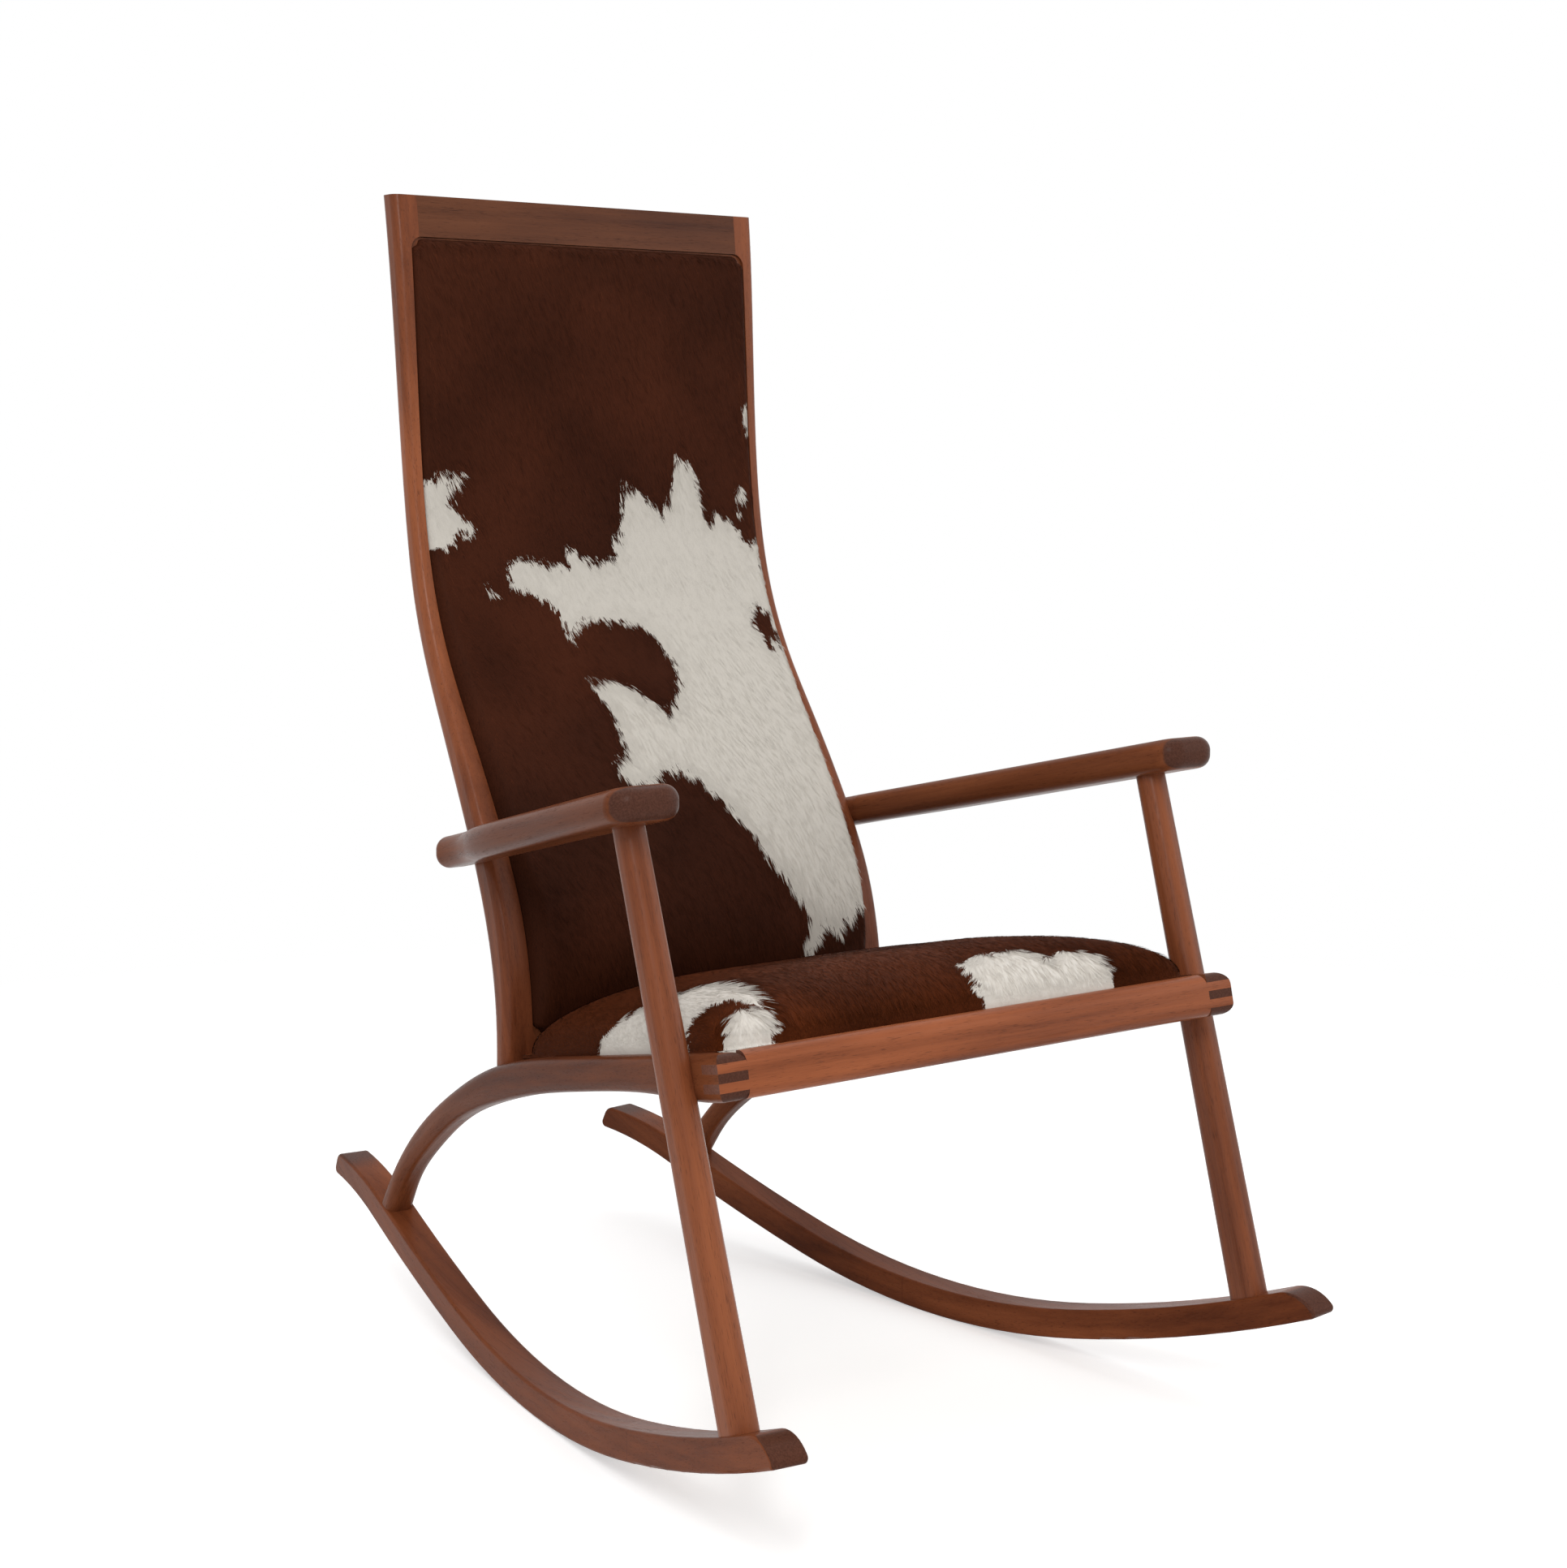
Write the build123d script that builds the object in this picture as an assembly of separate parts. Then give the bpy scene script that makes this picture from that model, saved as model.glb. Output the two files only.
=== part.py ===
from build123d import *
import math
import os

# A walnut rocking chair with a tall curved back, inset hide panels, box-jointed seat corners
# and sprung rear legs.  Millimetres, +Z up, the sitter faces -Y, the chair is the same on both
# sides of X = 0.  While it is drawn, Y = 0 is close to the middle of a front foot; at the end
# everything is moved so that the origin is under the middle of the whole chair.

# ---- rockers ----
floor_z = -6.5            # the floor, below the level the front feet were set out from
rocker_width = 33
rocker_thick = 29
roll_radius = 880         # middle of the sole, the arc it rolls on
roll_half = 190           # run of that arc each way from the floor contact
front_radius = 1600       # flatter arc from there to the front end
front_run = 470           # contact to front end
rear_radius = 2750        # and toward the rear
rear_run = 409            # contact to where the tail turns the other way
tail_radius = 470
tail_turn = 15            # degrees the tail turns back toward level
tail_early = 12           # the top turns that much before the sole, so the tail tapers
toe_cut = 34              # length of the sloping cut at the front end
toe_bulge = 7
toe_y = -87               # front end of the rocker sole, from the front foot
toe_x = 299               # half spacing of the rocker middles at the front ends
heel_x = 173              # and further back
heel_run = 970            # run between those two, along Y
rocker_round = 3
toe_tip_round = 5
toe_top_round = 12
heel_top_round = 14
heel_low_round = 6
rocker_end_round = 8      # corners of both ends, seen from above

# ---- front legs ----
foot_out = 0.5            # the foot stands that much outside the middle of the rocker
foot_y = -2
foot_wide = 28
foot_deep = 37
leg_top_x = 294           # middle of the leg just under the arm
leg_top_y = 144
leg_top_wide = 26
leg_top_deep = 27
leg_round = 12

# ---- seat frame: side rails that run on into the bent rear legs ----
rail_front_y = 31
rail_outer_front = 287    # half width over the front corners
rear_foot_out = 1         # the rear foot stands that much outside the middle of the rocker
rail_rear_y = 750
rail_thick = 29
front_rail_deep = 27
front_rail_high = 40
seat_drop = 0.213         # fall of the seat frame per unit run to the rear
rail_top_z = 401          # at the front face
nose_round = 13           # upper front edge of the front rail
nose_under = 10           # and its lower front edge
rail_round = 10
corner_fingers = 5
rabbet_wide = 10          # step that the seat and back panels sit in
rabbet_deep = 12
rear_rail_front_y = 438
rear_rail_deep = 32
rear_rail_high = 30
rear_rail_step = 9        # ledge for the seat panel on the rear rail
seat_corner = 10

# ---- back frame ----
post_inner_x = 189        # inner faces of the posts, upright
crest_top_z = 1122
crest_high = 48
post_foot_z = 255
post_step = 9             # ledge for the back panel on each post
crest_step = 8            # and on the crest rail
panel_low_z = 322
panel_corner = 12
post_round = 9

# ---- arms ----
arm_thick = 30
arm_front_y = 94
arm_front_z = 612         # top of the arm at its front end
arm_rise = 0.226          # climb toward the front per unit run
arm_outer_front = 338
arm_inner_front = 270
arm_rear_y = 549
arm_round = 13
arm_front_corner = 22     # corners of the arm seen from above
arm_rear_corner = 17

# ---- upholstery ----
back_board_thick = 9
hide_thick = 2
# height of the back cushion above the face of the posts, at these heights up the back
back_pad = [(322, 3), (345, 12), (380, 20), (430, 23), (500, 21), (600, 17), (670, 15), (730, 10),
            (790, 5), (850, 4), (1082, 4)]
back_edge = 5             # rounding of the back cushion edge
seat_board_thick = 10
seat_crown = 59           # top of the cushion above the seat frame
seat_shoulder = 150       # run over which the cushion rises from its edge to its top
soft_gap = 0.3

fit_gap = 0.1             # clearance round tenons, dowels and screws
tenon_radius = 8
tenon_long = 15
rear_tenon_radius = 7
dowel_radius = 4
dowel_long = 30
crest_dowel_grip = 12     # length of a crest dowel in the post
arm_dowel_grip = 20       # length of an arm dowel in the arm
post_dowel_half = 14      # half length of the dowel under a post
screw_radius = 1.75
screw_head_radius = 3.2
screw_head_high = 2.2
screw_grip = 7            # length in the panel board
back_screw_wood = 8       # wood under the head, behind the back panel
seat_screw_wood = 15      # and under the seat panel
back_screw_heights = (400, 700, 1000)
seat_screw_places = (130, 360)   # along Y
hole_spare = 1            # empty end of the holes for tenons, dowels and screws
bore_lead = 20            # bores and tenons start that far inside or outside, to join cleanly
crest_dowel_drops = (12, 30)     # below the top of the crest rail
rail_dowel_steps = (10, 24)      # behind the front face of the rear rail

parts = {}


def keepBiggest(shape):
    solids = shape.solids()
    return max(solids, key=lambda s: s.volume)


def mirrorX(shape):
    return mirror(shape, about=Plane.YZ)


def sidePlane(x_front, y_front, x_rear, y_rear):
    # upright plane through two points of the plan; local x runs to the rear, local y is up
    run = Vector(x_rear - x_front, y_rear - y_front, 0).normalized()
    return Plane(origin=(x_front, y_front, 0), x_dir=run, z_dir=run.cross(Vector(0, 0, 1)))


def backHeight(z):
    # the back is drawn for a crest 1122 high; its curves stretch with the real height
    return post_foot_z + (z - 255) * (crest_top_z - post_foot_z) / (1122 - 255)


# ------------------------------------------------------------------ rocker
rocker_plane = sidePlane(-toe_x, toe_y, -heel_x, toe_y + heel_run)


def arcPiece(centre, radius, start, end):
    # circular arc in the rocker plane; angles in degrees from straight down
    def at(angle):
        turn = math.radians(angle)
        return (centre[0] + radius * math.sin(turn), centre[1] - radius * math.cos(turn))
    return ThreePointArc(at(start), at((start + end) / 2), at(end))


def arcCentre(inner_centre, inner_radius, outer_radius, angle):
    # centre of the next arc, so that both share a tangent at angle
    turn = math.radians(angle)
    step = outer_radius - inner_radius
    return (inner_centre[0] - step * math.sin(turn), inner_centre[1] + step * math.cos(turn))


def soleArcs(lift, early):
    # sole of the rocker raised by lift along its own normals, from the front end to the heel;
    # early moves the start of the tail forward
    roll_angle = math.degrees(math.asin(roll_half / roll_radius))
    roll_centre = (front_run, floor_z + roll_radius)
    front_centre = arcCentre(roll_centre, roll_radius, front_radius, -roll_angle)
    rear_centre = arcCentre(roll_centre, roll_radius, rear_radius, roll_angle)
    front_angle = math.degrees(math.asin((0 - front_centre[0]) / front_radius))
    rear_angle = math.degrees(math.asin((front_run + rear_run - early - rear_centre[0]) / rear_radius))
    tail_centre = arcCentre(rear_centre, rear_radius, -tail_radius, rear_angle)
    return [
        arcPiece(front_centre, front_radius - lift, front_angle, -roll_angle),
        arcPiece(roll_centre, roll_radius - lift, -roll_angle, roll_angle),
        arcPiece(rear_centre, rear_radius - lift, roll_angle, rear_angle),
        arcPiece(tail_centre, -tail_radius - lift, rear_angle, rear_angle - tail_turn),
    ]


sole = soleArcs(0, 0)
crown = soleArcs(rocker_thick, tail_early)
toe_tip = sole[0] @ 0
toe_start = crown[0] @ (toe_cut / crown[0].length)
crown_front = crown[0].trim(toe_cut / crown[0].length, 1)
toe_mid = ((toe_start.X + toe_tip.X) / 2 - toe_bulge * 0.45, (toe_start.Y + toe_tip.Y) / 2 + toe_bulge)
rocker_outline = sole + [Line(sole[3] @ 1, crown[3] @ 1), crown[3], crown[2], crown[1], crown_front,
                         ThreePointArc(toe_start, toe_mid, toe_tip)]
rocker_face = make_face(Curve() + rocker_outline)
rocker_long = (sole[3] @ 1).X
by_run = sorted(rocker_face.vertices(), key=lambda v: v.X)
heel_corners = sorted(by_run[-2:], key=lambda v: v.Y)


def roundCorner(face, spot, radius):
    return fillet([v for v in face.vertices() if (v.center() - spot).length < 0.1], radius)


rocker_face = roundCorner(rocker_face, by_run[0].center(), toe_tip_round)
rocker_face = roundCorner(rocker_face, toe_start, toe_top_round)
rocker_face = roundCorner(rocker_face, heel_corners[1].center(), heel_top_round)
rocker_face = roundCorner(rocker_face, heel_corners[0].center(), heel_low_round)

rocker_body = extrude(rocker_plane.offset(-rocker_width / 2) * rocker_face, rocker_width)
side_loops = [f for f in rocker_body.faces() if abs(f.normal_at().dot(rocker_plane.z_dir)) > 0.99
              and f.area > 5000]
rocker_body = fillet([e for f in side_loops for e in f.edges()], rocker_round)
# everything under the top face of the rocker, to cut the legs that stand on it
low_front = Vector((crown[0] @ 0).X, floor_z - 40)
low_rear = Vector((crown[3] @ 1).X, floor_z - 40)
under_top = make_face(Curve() + crown + [Line(crown[3] @ 1, low_rear), Line(low_rear, low_front),
                                         Line(low_front, crown[0] @ 0)])
under_rocker = extrude(rocker_plane * under_top, 60, both=True)
# rounded plan corners at both ends
plan_place = Plane(origin=(-toe_x, toe_y, -50), x_dir=rocker_plane.x_dir, z_dir=(0, 0, 1))
plan_shape = RectangleRounded(rocker_long + 2, rocker_width, rocker_end_round)
plan_block = extrude(Pos(rocker_long / 2, 0) * plan_shape, 400)
rocker_body = keepBiggest(rocker_body & (plan_place * plan_block))


def rockerTop(y):
    # height of the rocker's top face at y
    run = (y - toe_y) / rocker_plane.x_dir.Y
    spots = [arc @ (step / 60) for arc in crown for step in range(61)]
    return min(spots, key=lambda spot: abs(spot.X - run)).Y


def rockerX(y):
    # half spacing of the rocker middles at y
    return toe_x - (toe_x - heel_x) * (y - toe_y) / heel_run


foot_x = rockerX(foot_y) + foot_out
foot_z = rockerTop(foot_y)

# ------------------------------------------------------------------ seat frame
rail_outer_rear = rockerX(rail_rear_y) + rail_thick / 2 + rear_foot_out
rail_plane = sidePlane(-rail_outer_front, rail_front_y, -rail_outer_rear, rail_rear_y)
seat_tilt = math.degrees(math.atan(seat_drop))
seat_plane = Plane(origin=(0, rail_front_y, rail_top_z), x_dir=(1, 0, 0),
                   z_dir=(0, math.sin(math.radians(seat_tilt)), math.cos(math.radians(seat_tilt))))
plan_cos = rail_plane.x_dir.Y


def railTop(run):
    return rail_top_z - seat_drop * run * plan_cos


# outline in the rail's own upright plane: run to the rear, and how far the upper and lower edge
# lie under the line of the seat frame's top
upper_drops = [(-20, 0), (150, 0), (300, 0), (400, 2.3), (470, 10.5), (545, 29.6), (643, 69),
               (715, 120), (752, 158)]
lower_drops = [(-20, front_rail_high), (30, front_rail_high), (120, 33.6), (255, 31.5), (360, 34.3),
               (448, 42.2), (540, 58.7), (630, 93.7), (690, 131), (728, 175)]
leg_run = Vector(0.61, -0.79)     # the way the rear leg points at its foot


def railEdge(drops):
    # the bent part of each edge, then straight on past the rocker, which cuts the leg off
    points = [(run, railTop(run) - drop) for run, drop in drops]
    bend = Spline(*points, tangents=[(1, -seat_drop * plan_cos), leg_run])
    return [bend, Line(bend @ 1, bend @ 1 + leg_run * 60)]


rail_upper = railEdge(upper_drops)
rail_lower = railEdge(lower_drops)
rail_front = Line(rail_lower[0] @ 0, rail_upper[0] @ 0)
rail_foot = Line(rail_upper[1] @ 1, rail_lower[1] @ 1)
rail_face = make_face(Curve() + rail_upper + rail_lower + [rail_front, rail_foot])
rail_slab = extrude(rail_plane * rail_face, rail_thick)
rail_sides = [f for f in rail_slab.faces() if abs(f.normal_at().dot(rail_plane.z_dir)) > 0.99]
end_spots = [rail_front @ 0.5, rail_foot @ 0.5]
end_spots = [rail_plane.from_local_coords(Vector(spot.X, spot.Y)) for spot in end_spots]


def nearEnd(edge):
    # the short edges at the front and at the foot, which stay sharp
    return min((edge.center() - spot).length for spot in end_spots) < rail_thick + 1


rail_slab = fillet([e for f in rail_sides for e in f.edges() if not nearEnd(e)], rail_round)
under_low = Vector((rail_upper[1] @ 1).X, -200)
under_front = Vector((rail_upper[0] @ 0).X, -200)
under_rail = make_face(Curve() + rail_upper + [Line(rail_upper[1] @ 1, under_low), Line(under_low, under_front),
                                               Line(under_front, rail_upper[0] @ 0)])
under_rail = extrude(rail_plane * under_rail, 320, both=True)
outboard = Box(200, 1600, 900, align=(Align.MAX, Align.CENTER, Align.CENTER))
outboard = Plane(origin=rail_plane.origin + rail_plane.z_dir * rail_thick, x_dir=rail_plane.z_dir,
                 z_dir=(0, 0, 1)) * outboard


def seatBox(x0, x1, v0, v1, w0, w1):
    # box in the sloping seat frame: v runs to the rear, w is up from the rail tops
    return seat_plane * (Pos((x0 + x1) / 2, (v0 + v1) / 2, (w0 + w1) / 2) * Box(x1 - x0, v1 - v0, w1 - w0))


def seatRun(y):
    return (y - rail_front_y) / math.cos(math.radians(seat_tilt))


w_high = front_rail_high * math.cos(math.radians(seat_tilt))
front_bar = Pos(0, front_rail_deep / 2, -w_high / 2) * Box(700, front_rail_deep, w_high)
front_edges = [e for e in front_bar.edges() if e.length > 600 and e.center().Y < 1]
front_edges = sorted(front_edges, key=lambda e: e.center().Z)
front_bar = fillet(front_edges[1], nose_round)
front_edges = [e for e in front_bar.edges() if e.length > 600 and e.center().Y < 1]
front_edges = sorted(front_edges, key=lambda e: e.center().Z)
front_bar = seat_plane * fillet(front_edges[0], nose_under)
in_front = seatBox(-400, 400, -60, 0, -80, 80)
rail_slab = rail_slab - in_front
corner = rail_slab & front_bar
finger = w_high / corner_fingers
rail_fingers = seatBox(-400, 0, -20, 60, -finger, 0)
for layer in range(2, corner_fingers, 2):
    rail_fingers = rail_fingers + seatBox(-400, 0, -20, 60, -finger * (layer + 1), -finger * layer)
side_rail = (rail_slab - seatBox(-400, 400, -60, front_rail_deep, -80, 80)) + (corner & rail_fingers)
bar_fingers = corner - rail_fingers
front_rail = front_bar - outboard - mirrorX(outboard) + bar_fingers + mirrorX(bar_fingers)

rear_v = seatRun(rear_rail_front_y)
rear_rail = seatBox(-400, 400, rear_v, rear_v + rear_rail_deep, -rear_rail_high, 0)
rear_rail = rear_rail - outboard - mirrorX(outboard)

# room for the seat panel: it stands on a step cut round the inside of the frame
inner_front = rail_outer_front - rail_thick / plan_cos
rail_lean = (rail_outer_front - rail_outer_rear) / (rail_rear_y - rail_front_y)
seat_v0 = front_rail_deep - rabbet_wide
seat_v1 = seatRun(rear_rail_front_y + rear_rail_step)


def seatOutline(inset):
    # plan of the seat panel in the seat frame, drawn in by inset all round
    def halfAt(v):
        y = rail_front_y + v * math.cos(math.radians(seat_tilt))
        return inner_front + rabbet_wide - rail_lean * (y - rail_front_y) - inset / plan_cos
    v0 = seat_v0 + inset
    v1 = seat_v1 - inset
    corners = [(-halfAt(v0), v0), (halfAt(v0), v0), (halfAt(v1), v1), (-halfAt(v1), v1)]
    return make_face(Polyline(*corners, close=True))


seat_room = extrude(fillet(seatOutline(0).vertices(), seat_corner), 60)
seat_room = seat_plane * (Pos(0, 0, -rabbet_deep) * seat_room)
side_rail = side_rail - seat_room
front_rail = front_rail - seat_room
rear_rail = rear_rail - seat_room

# ------------------------------------------------------------------ front leg
def armTop(y):
    return arm_front_z - arm_rise * (y - arm_front_y)


arm_slant = math.sqrt(1 + arm_rise * arm_rise)
arm_drop = arm_thick * arm_slant          # upright thickness of the sloping arm
leg_top_z = armTop(leg_top_y) - arm_drop
leg_axis = Vector(foot_x - leg_top_x, leg_top_y - foot_y, leg_top_z - foot_z).normalized()
leg_extra = 30            # run past both ends, cut off later by the rocker and the arm


def legPoint(z):
    along = (z - foot_z) / (leg_top_z - foot_z)
    return (-foot_x - (leg_top_x - foot_x) * along, foot_y + (leg_top_y - foot_y) * along, z)


foot = Pos(*legPoint(foot_z - leg_extra)) * RectangleRounded(foot_wide, foot_deep, leg_round)
leg_head = Pos(*legPoint(leg_top_z + leg_extra)) * RectangleRounded(leg_top_wide, leg_top_deep, leg_round)
front_leg = loft([foot.faces()[0], leg_head.faces()[0]])

# ------------------------------------------------------------------ back posts and crest
# side view, as distance behind the front face of the rear seat rail, and height
front_points = [(20, 255), (22, 320), (25, 370), (40, 440), (77, 518), (130, 605), (168, 666), (196, 730),
                (212, 795), (222, 880), (229, 1000), (239, 1122)]
rear_points = [(46, 255), (46, 320), (56, 380), (74, 438), (110, 515), (162, 605), (196, 666), (222, 730),
               (236, 795), (246, 880), (255, 1000), (266, 1122)]


def backSpline(points):
    return Spline(*[(rear_rail_front_y + back, backHeight(z)) for back, z in points])


back_front = backSpline(front_points)
back_rear = backSpline(rear_points)
back_section = make_face(Curve() + [back_front, Line(back_front @ 1, back_rear @ 1), back_rear,
                                    Line(back_rear @ 0, back_front @ 0)])
back_slab = extrude(Plane.YZ.offset(-320) * back_section, 640)
# front view: width of the post outside its upright inner face, and height
post_widths = [(41, 255), (39.5, 300), (36, 370), (33.5, 450), (31, 530), (26, 640), (22.5, 760), (22, 880),
               (23, 1000), (25, 1122)]
post_outer = Spline(*[(post_inner_x + wide, backHeight(z)) for wide, z in post_widths])
post_face = make_face(Curve() + [post_outer, Line(post_outer @ 1, (post_inner_x, crest_top_z)),
                                 Line((post_inner_x, crest_top_z), (post_inner_x, post_foot_z)),
                                 Line((post_inner_x, post_foot_z), post_outer @ 0)])
post_prism = mirrorX(extrude(Plane.XZ * post_face, -1200))
back_post = back_slab & post_prism
post_high = crest_top_z - post_foot_z
post_edges = [e for e in back_post.edges() if e.length > post_high * 0.7 and e.center().X < -post_inner_x - 10]
back_post = fillet(post_edges, post_round)
back_post = keepBiggest(back_post - under_rail - rear_rail)
crest_box = Pos(0, 600, crest_top_z - crest_high / 2) * Box(post_inner_x * 2, 400, crest_high)
crest_rail = back_slab & crest_box

# ------------------------------------------------------------------ back panel layers
panel_half = post_inner_x + post_step
panel_top_z = crest_top_z - crest_high + crest_step


def padHeight(z):
    # height of the back cushion at z, between the set heights
    heights = [(backHeight(level), pad) for level, pad in back_pad]
    for (z0, pad0), (z1, pad1) in zip(heights, heights[1:]):
        if z <= z1:
            along = max(0, (z - z0) / (z1 - z0))
            return pad0 + (pad1 - pad0) * along * along * (3 - 2 * along)
    return back_pad[-1][1]


def backCurve(offset, padded=False):
    # the face curve of the posts moved forward by offset, and by the cushion if padded
    steps = 40
    points = []
    for step in range(steps + 1):
        here = back_front @ (step / steps)
        ahead = back_front % (step / steps)
        out = offset + (padHeight(here.Y) if padded else 0)
        points.append((here.X - ahead.Y * out, here.Y + ahead.X * out))
    return Spline(*points)


def backLayer(near, far):
    face = make_face(Curve() + [near, Line(near @ 1, far @ 1), far, Line(far @ 0, near @ 0)])
    return extrude(Plane.YZ.offset(-320) * face, 640)


def panelPrism(inset, corner):
    high = panel_top_z - panel_low_z - inset * 2
    shape = RectangleRounded((panel_half - inset) * 2, high, corner - min(inset, corner - 2))
    return extrude(Plane.XZ * (Pos(0, (panel_top_z + panel_low_z) / 2) * shape), -1200)


recess_floor = backCurve(-rabbet_deep)
board_face = backCurve(-rabbet_deep + back_board_thick)
foam_face = backCurve(-hide_thick, padded=True)
hide_face = backCurve(0, padded=True)
far_front = backCurve(60)
back_room = backLayer(recess_floor, far_front) & panelPrism(0, panel_corner)
back_post = keepBiggest(back_post - back_room)
crest_rail = keepBiggest(crest_rail - back_room)
back_board = backLayer(recess_floor, board_face) & panelPrism(soft_gap, panel_corner)


def softFront(block, radius):
    # round the edge of the front face of a back cushion
    broad = sorted(block.faces(), key=lambda f: f.area)[-2:]
    front = min(broad, key=lambda f: f.center(CenterOf.MASS).Y)
    return fillet(front.edges(), radius)


back_foam = backLayer(board_face, foam_face) & panelPrism(soft_gap + hide_thick, panel_corner)
back_foam = softFront(back_foam, back_edge - hide_thick)
back_hide = backLayer(board_face, hide_face) & panelPrism(soft_gap, panel_corner)
back_hide = softFront(back_hide, back_edge) - back_foam

# ------------------------------------------------------------------ seat panel
seat_board = extrude(fillet(seatOutline(soft_gap).vertices(), seat_corner), seat_board_thick)
seat_board = seat_plane * (Pos(0, 0, -rabbet_deep) * seat_board)


def cushion(inset, high):
    # a crowned block: each section is the plan drawn in further, along a quarter ellipse
    base = -rabbet_deep + seat_board_thick
    sections = []
    for step in (0, 0.2, 0.4, 0.6, 0.78, 0.9, 0.97):
        draw = inset + seat_shoulder * (1 - math.sqrt(1 - step * step))
        face = fillet(seatOutline(draw).vertices(), seat_corner + 4 + draw * 0.3)
        sections.append(Pos(0, 0, base + (high - base) * step) * face)
    return loft([sec.faces()[0] for sec in sections])


seat_foam = seat_plane * cushion(soft_gap + hide_thick, seat_crown - hide_thick)
seat_hide = seat_plane * cushion(soft_gap, seat_crown)
seat_hide = seat_hide - seat_foam

# ------------------------------------------------------------------ arm
# plan: how far each edge has gone from its rear end out to its front end, at places along Y
outer_shares = [(94, 1), (195, 0.83), (305, 0.62), (400, 0.43), (445, 0.27), (480, 0.1), (512, 0.025), (549, 0)]
inner_shares = [(500, 0), (400, 0.3), (250, 0.67), (94, 1)]
arm_inner_rear = post_inner_x + 27
arm_outer_rear = post_inner_x + 67
arm_grow = (arm_rear_y - arm_front_y) / (549 - 94)


def armEdge(shares, rear, front):
    return Spline(*[(-rear - (front - rear) * share, arm_front_y + (y - 94) * arm_grow) for y, share in shares])


arm_outer = armEdge(outer_shares, arm_outer_rear, arm_outer_front)
arm_inner = armEdge(inner_shares, arm_inner_rear, arm_inner_front)
arm_plan = Curve() + [
    arm_outer,
    Line(arm_outer @ 1, (-arm_inner_rear, arm_rear_y)),
    Line((-arm_inner_rear, arm_rear_y), arm_inner @ 0),
    arm_inner,
    Line(arm_inner @ 1, arm_outer @ 0),
]
arm_plan_face = make_face(arm_plan)
arm_plan_face = fillet([v for v in arm_plan_face.vertices() if v.Y < arm_front_y + 1], arm_front_corner)
arm_plan_face = fillet([v for v in arm_plan_face.vertices() if v.Y > arm_rear_y - 1], arm_rear_corner)
arm_block = extrude(arm_plan_face, 900)


arm_side = make_face(Polyline((0, armTop(0)), (900, armTop(900)), (900, armTop(900) - arm_drop),
                              (0, armTop(0) - arm_drop), close=True))
arm = arm_block & extrude(Plane.YZ * arm_side, 400, both=True)
arm_faces = sorted(arm.faces(), key=lambda f: f.area)[-2:]
arm = fillet([e for f in arm_faces for e in f.edges()], arm_round)

# ------------------------------------------------------------------ joints
rocker = rocker_body


def pegAt(origin, direction, radius, start, end):
    # a round peg along direction, from start to end measured from origin
    place = Plane(origin=Vector(*origin) + Vector(*direction) * start, z_dir=Vector(*direction))
    return place * Cylinder(radius, end - start, align=(Align.CENTER, Align.CENTER, Align.MIN))


# front leg: cut to the top of the rocker and the underside of the arm, a round tenon at each end
leg_end = (leg_top_z - foot_z) / leg_axis.Z
leg_foot = legPoint(foot_z)
above_arm = extrude(Plane.YZ * make_face(Polyline(
    (-200, armTop(-200) - arm_drop), (900, armTop(900) - arm_drop), (900, 1500), (-200, 1500),
    close=True)), 600, both=True)
whole_leg = front_leg
front_leg = keepBiggest(whole_leg - under_rocker - above_arm)
low_tenon = pegAt(leg_foot, leg_axis, tenon_radius, -tenon_long, bore_lead)
low_bore = pegAt(leg_foot, leg_axis, tenon_radius + fit_gap, -tenon_long - hole_spare, bore_lead)
high_tenon = pegAt(leg_foot, leg_axis, tenon_radius, leg_end - bore_lead, leg_end + tenon_long)
high_bore = pegAt(leg_foot, leg_axis, tenon_radius + fit_gap, leg_end - bore_lead,
                  leg_end + tenon_long + hole_spare)
front_leg = front_leg + low_tenon + high_tenon
rocker = rocker - low_bore
arm = arm - high_bore

# the leg is let into the outside of the side rail
side_rail = keepBiggest(side_rail - whole_leg)

# rear leg: cut to the top of the rocker, with a tenon
leg_middle = (rail_upper[1] @ 0 + rail_lower[1] @ 0) / 2
down = [leg_middle + leg_run * (step / 2) for step in range(-60, 240)]
rear_foot = min(down, key=lambda spot: abs(spot.Y - rockerTop(rail_front_y + spot.X * plan_cos)))
rear_foot = rail_plane.from_local_coords(Vector(rear_foot.X, rear_foot.Y, rail_thick / 2))
rear_axis = (rail_plane.x_dir * leg_run.X + Vector(0, 0, leg_run.Y)).normalized()
side_rail = keepBiggest(side_rail - under_rocker)
rear_tenon = pegAt(rear_foot, rear_axis, rear_tenon_radius, -bore_lead, tenon_long)
rear_bore = pegAt(rear_foot, rear_axis, rear_tenon_radius + fit_gap, -bore_lead, tenon_long + hole_spare)
side_rail = side_rail + rear_tenon
rocker = rocker - rear_bore

# arm on the outside of the back post
arm = keepBiggest(arm - back_post)

# dowels in the hidden joints
crest_dowels = []
crest_middle = ((back_front @ 1).X + (back_rear @ 1).X) / 2
for drop in crest_dowel_drops:
    # the crest leans forward a little toward its lower edge
    spot = (-post_inner_x, crest_middle - drop * 0.08, crest_top_z - drop)
    crest_dowels.append(pegAt(spot, (1, 0, 0), dowel_radius, -crest_dowel_grip, dowel_long / 2))
    bore = pegAt(spot, (1, 0, 0), dowel_radius + fit_gap, -crest_dowel_grip - hole_spare,
                 dowel_long / 2 + hole_spare)
    back_post = back_post - bore
    crest_rail = crest_rail - bore - mirrorX(bore)

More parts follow.
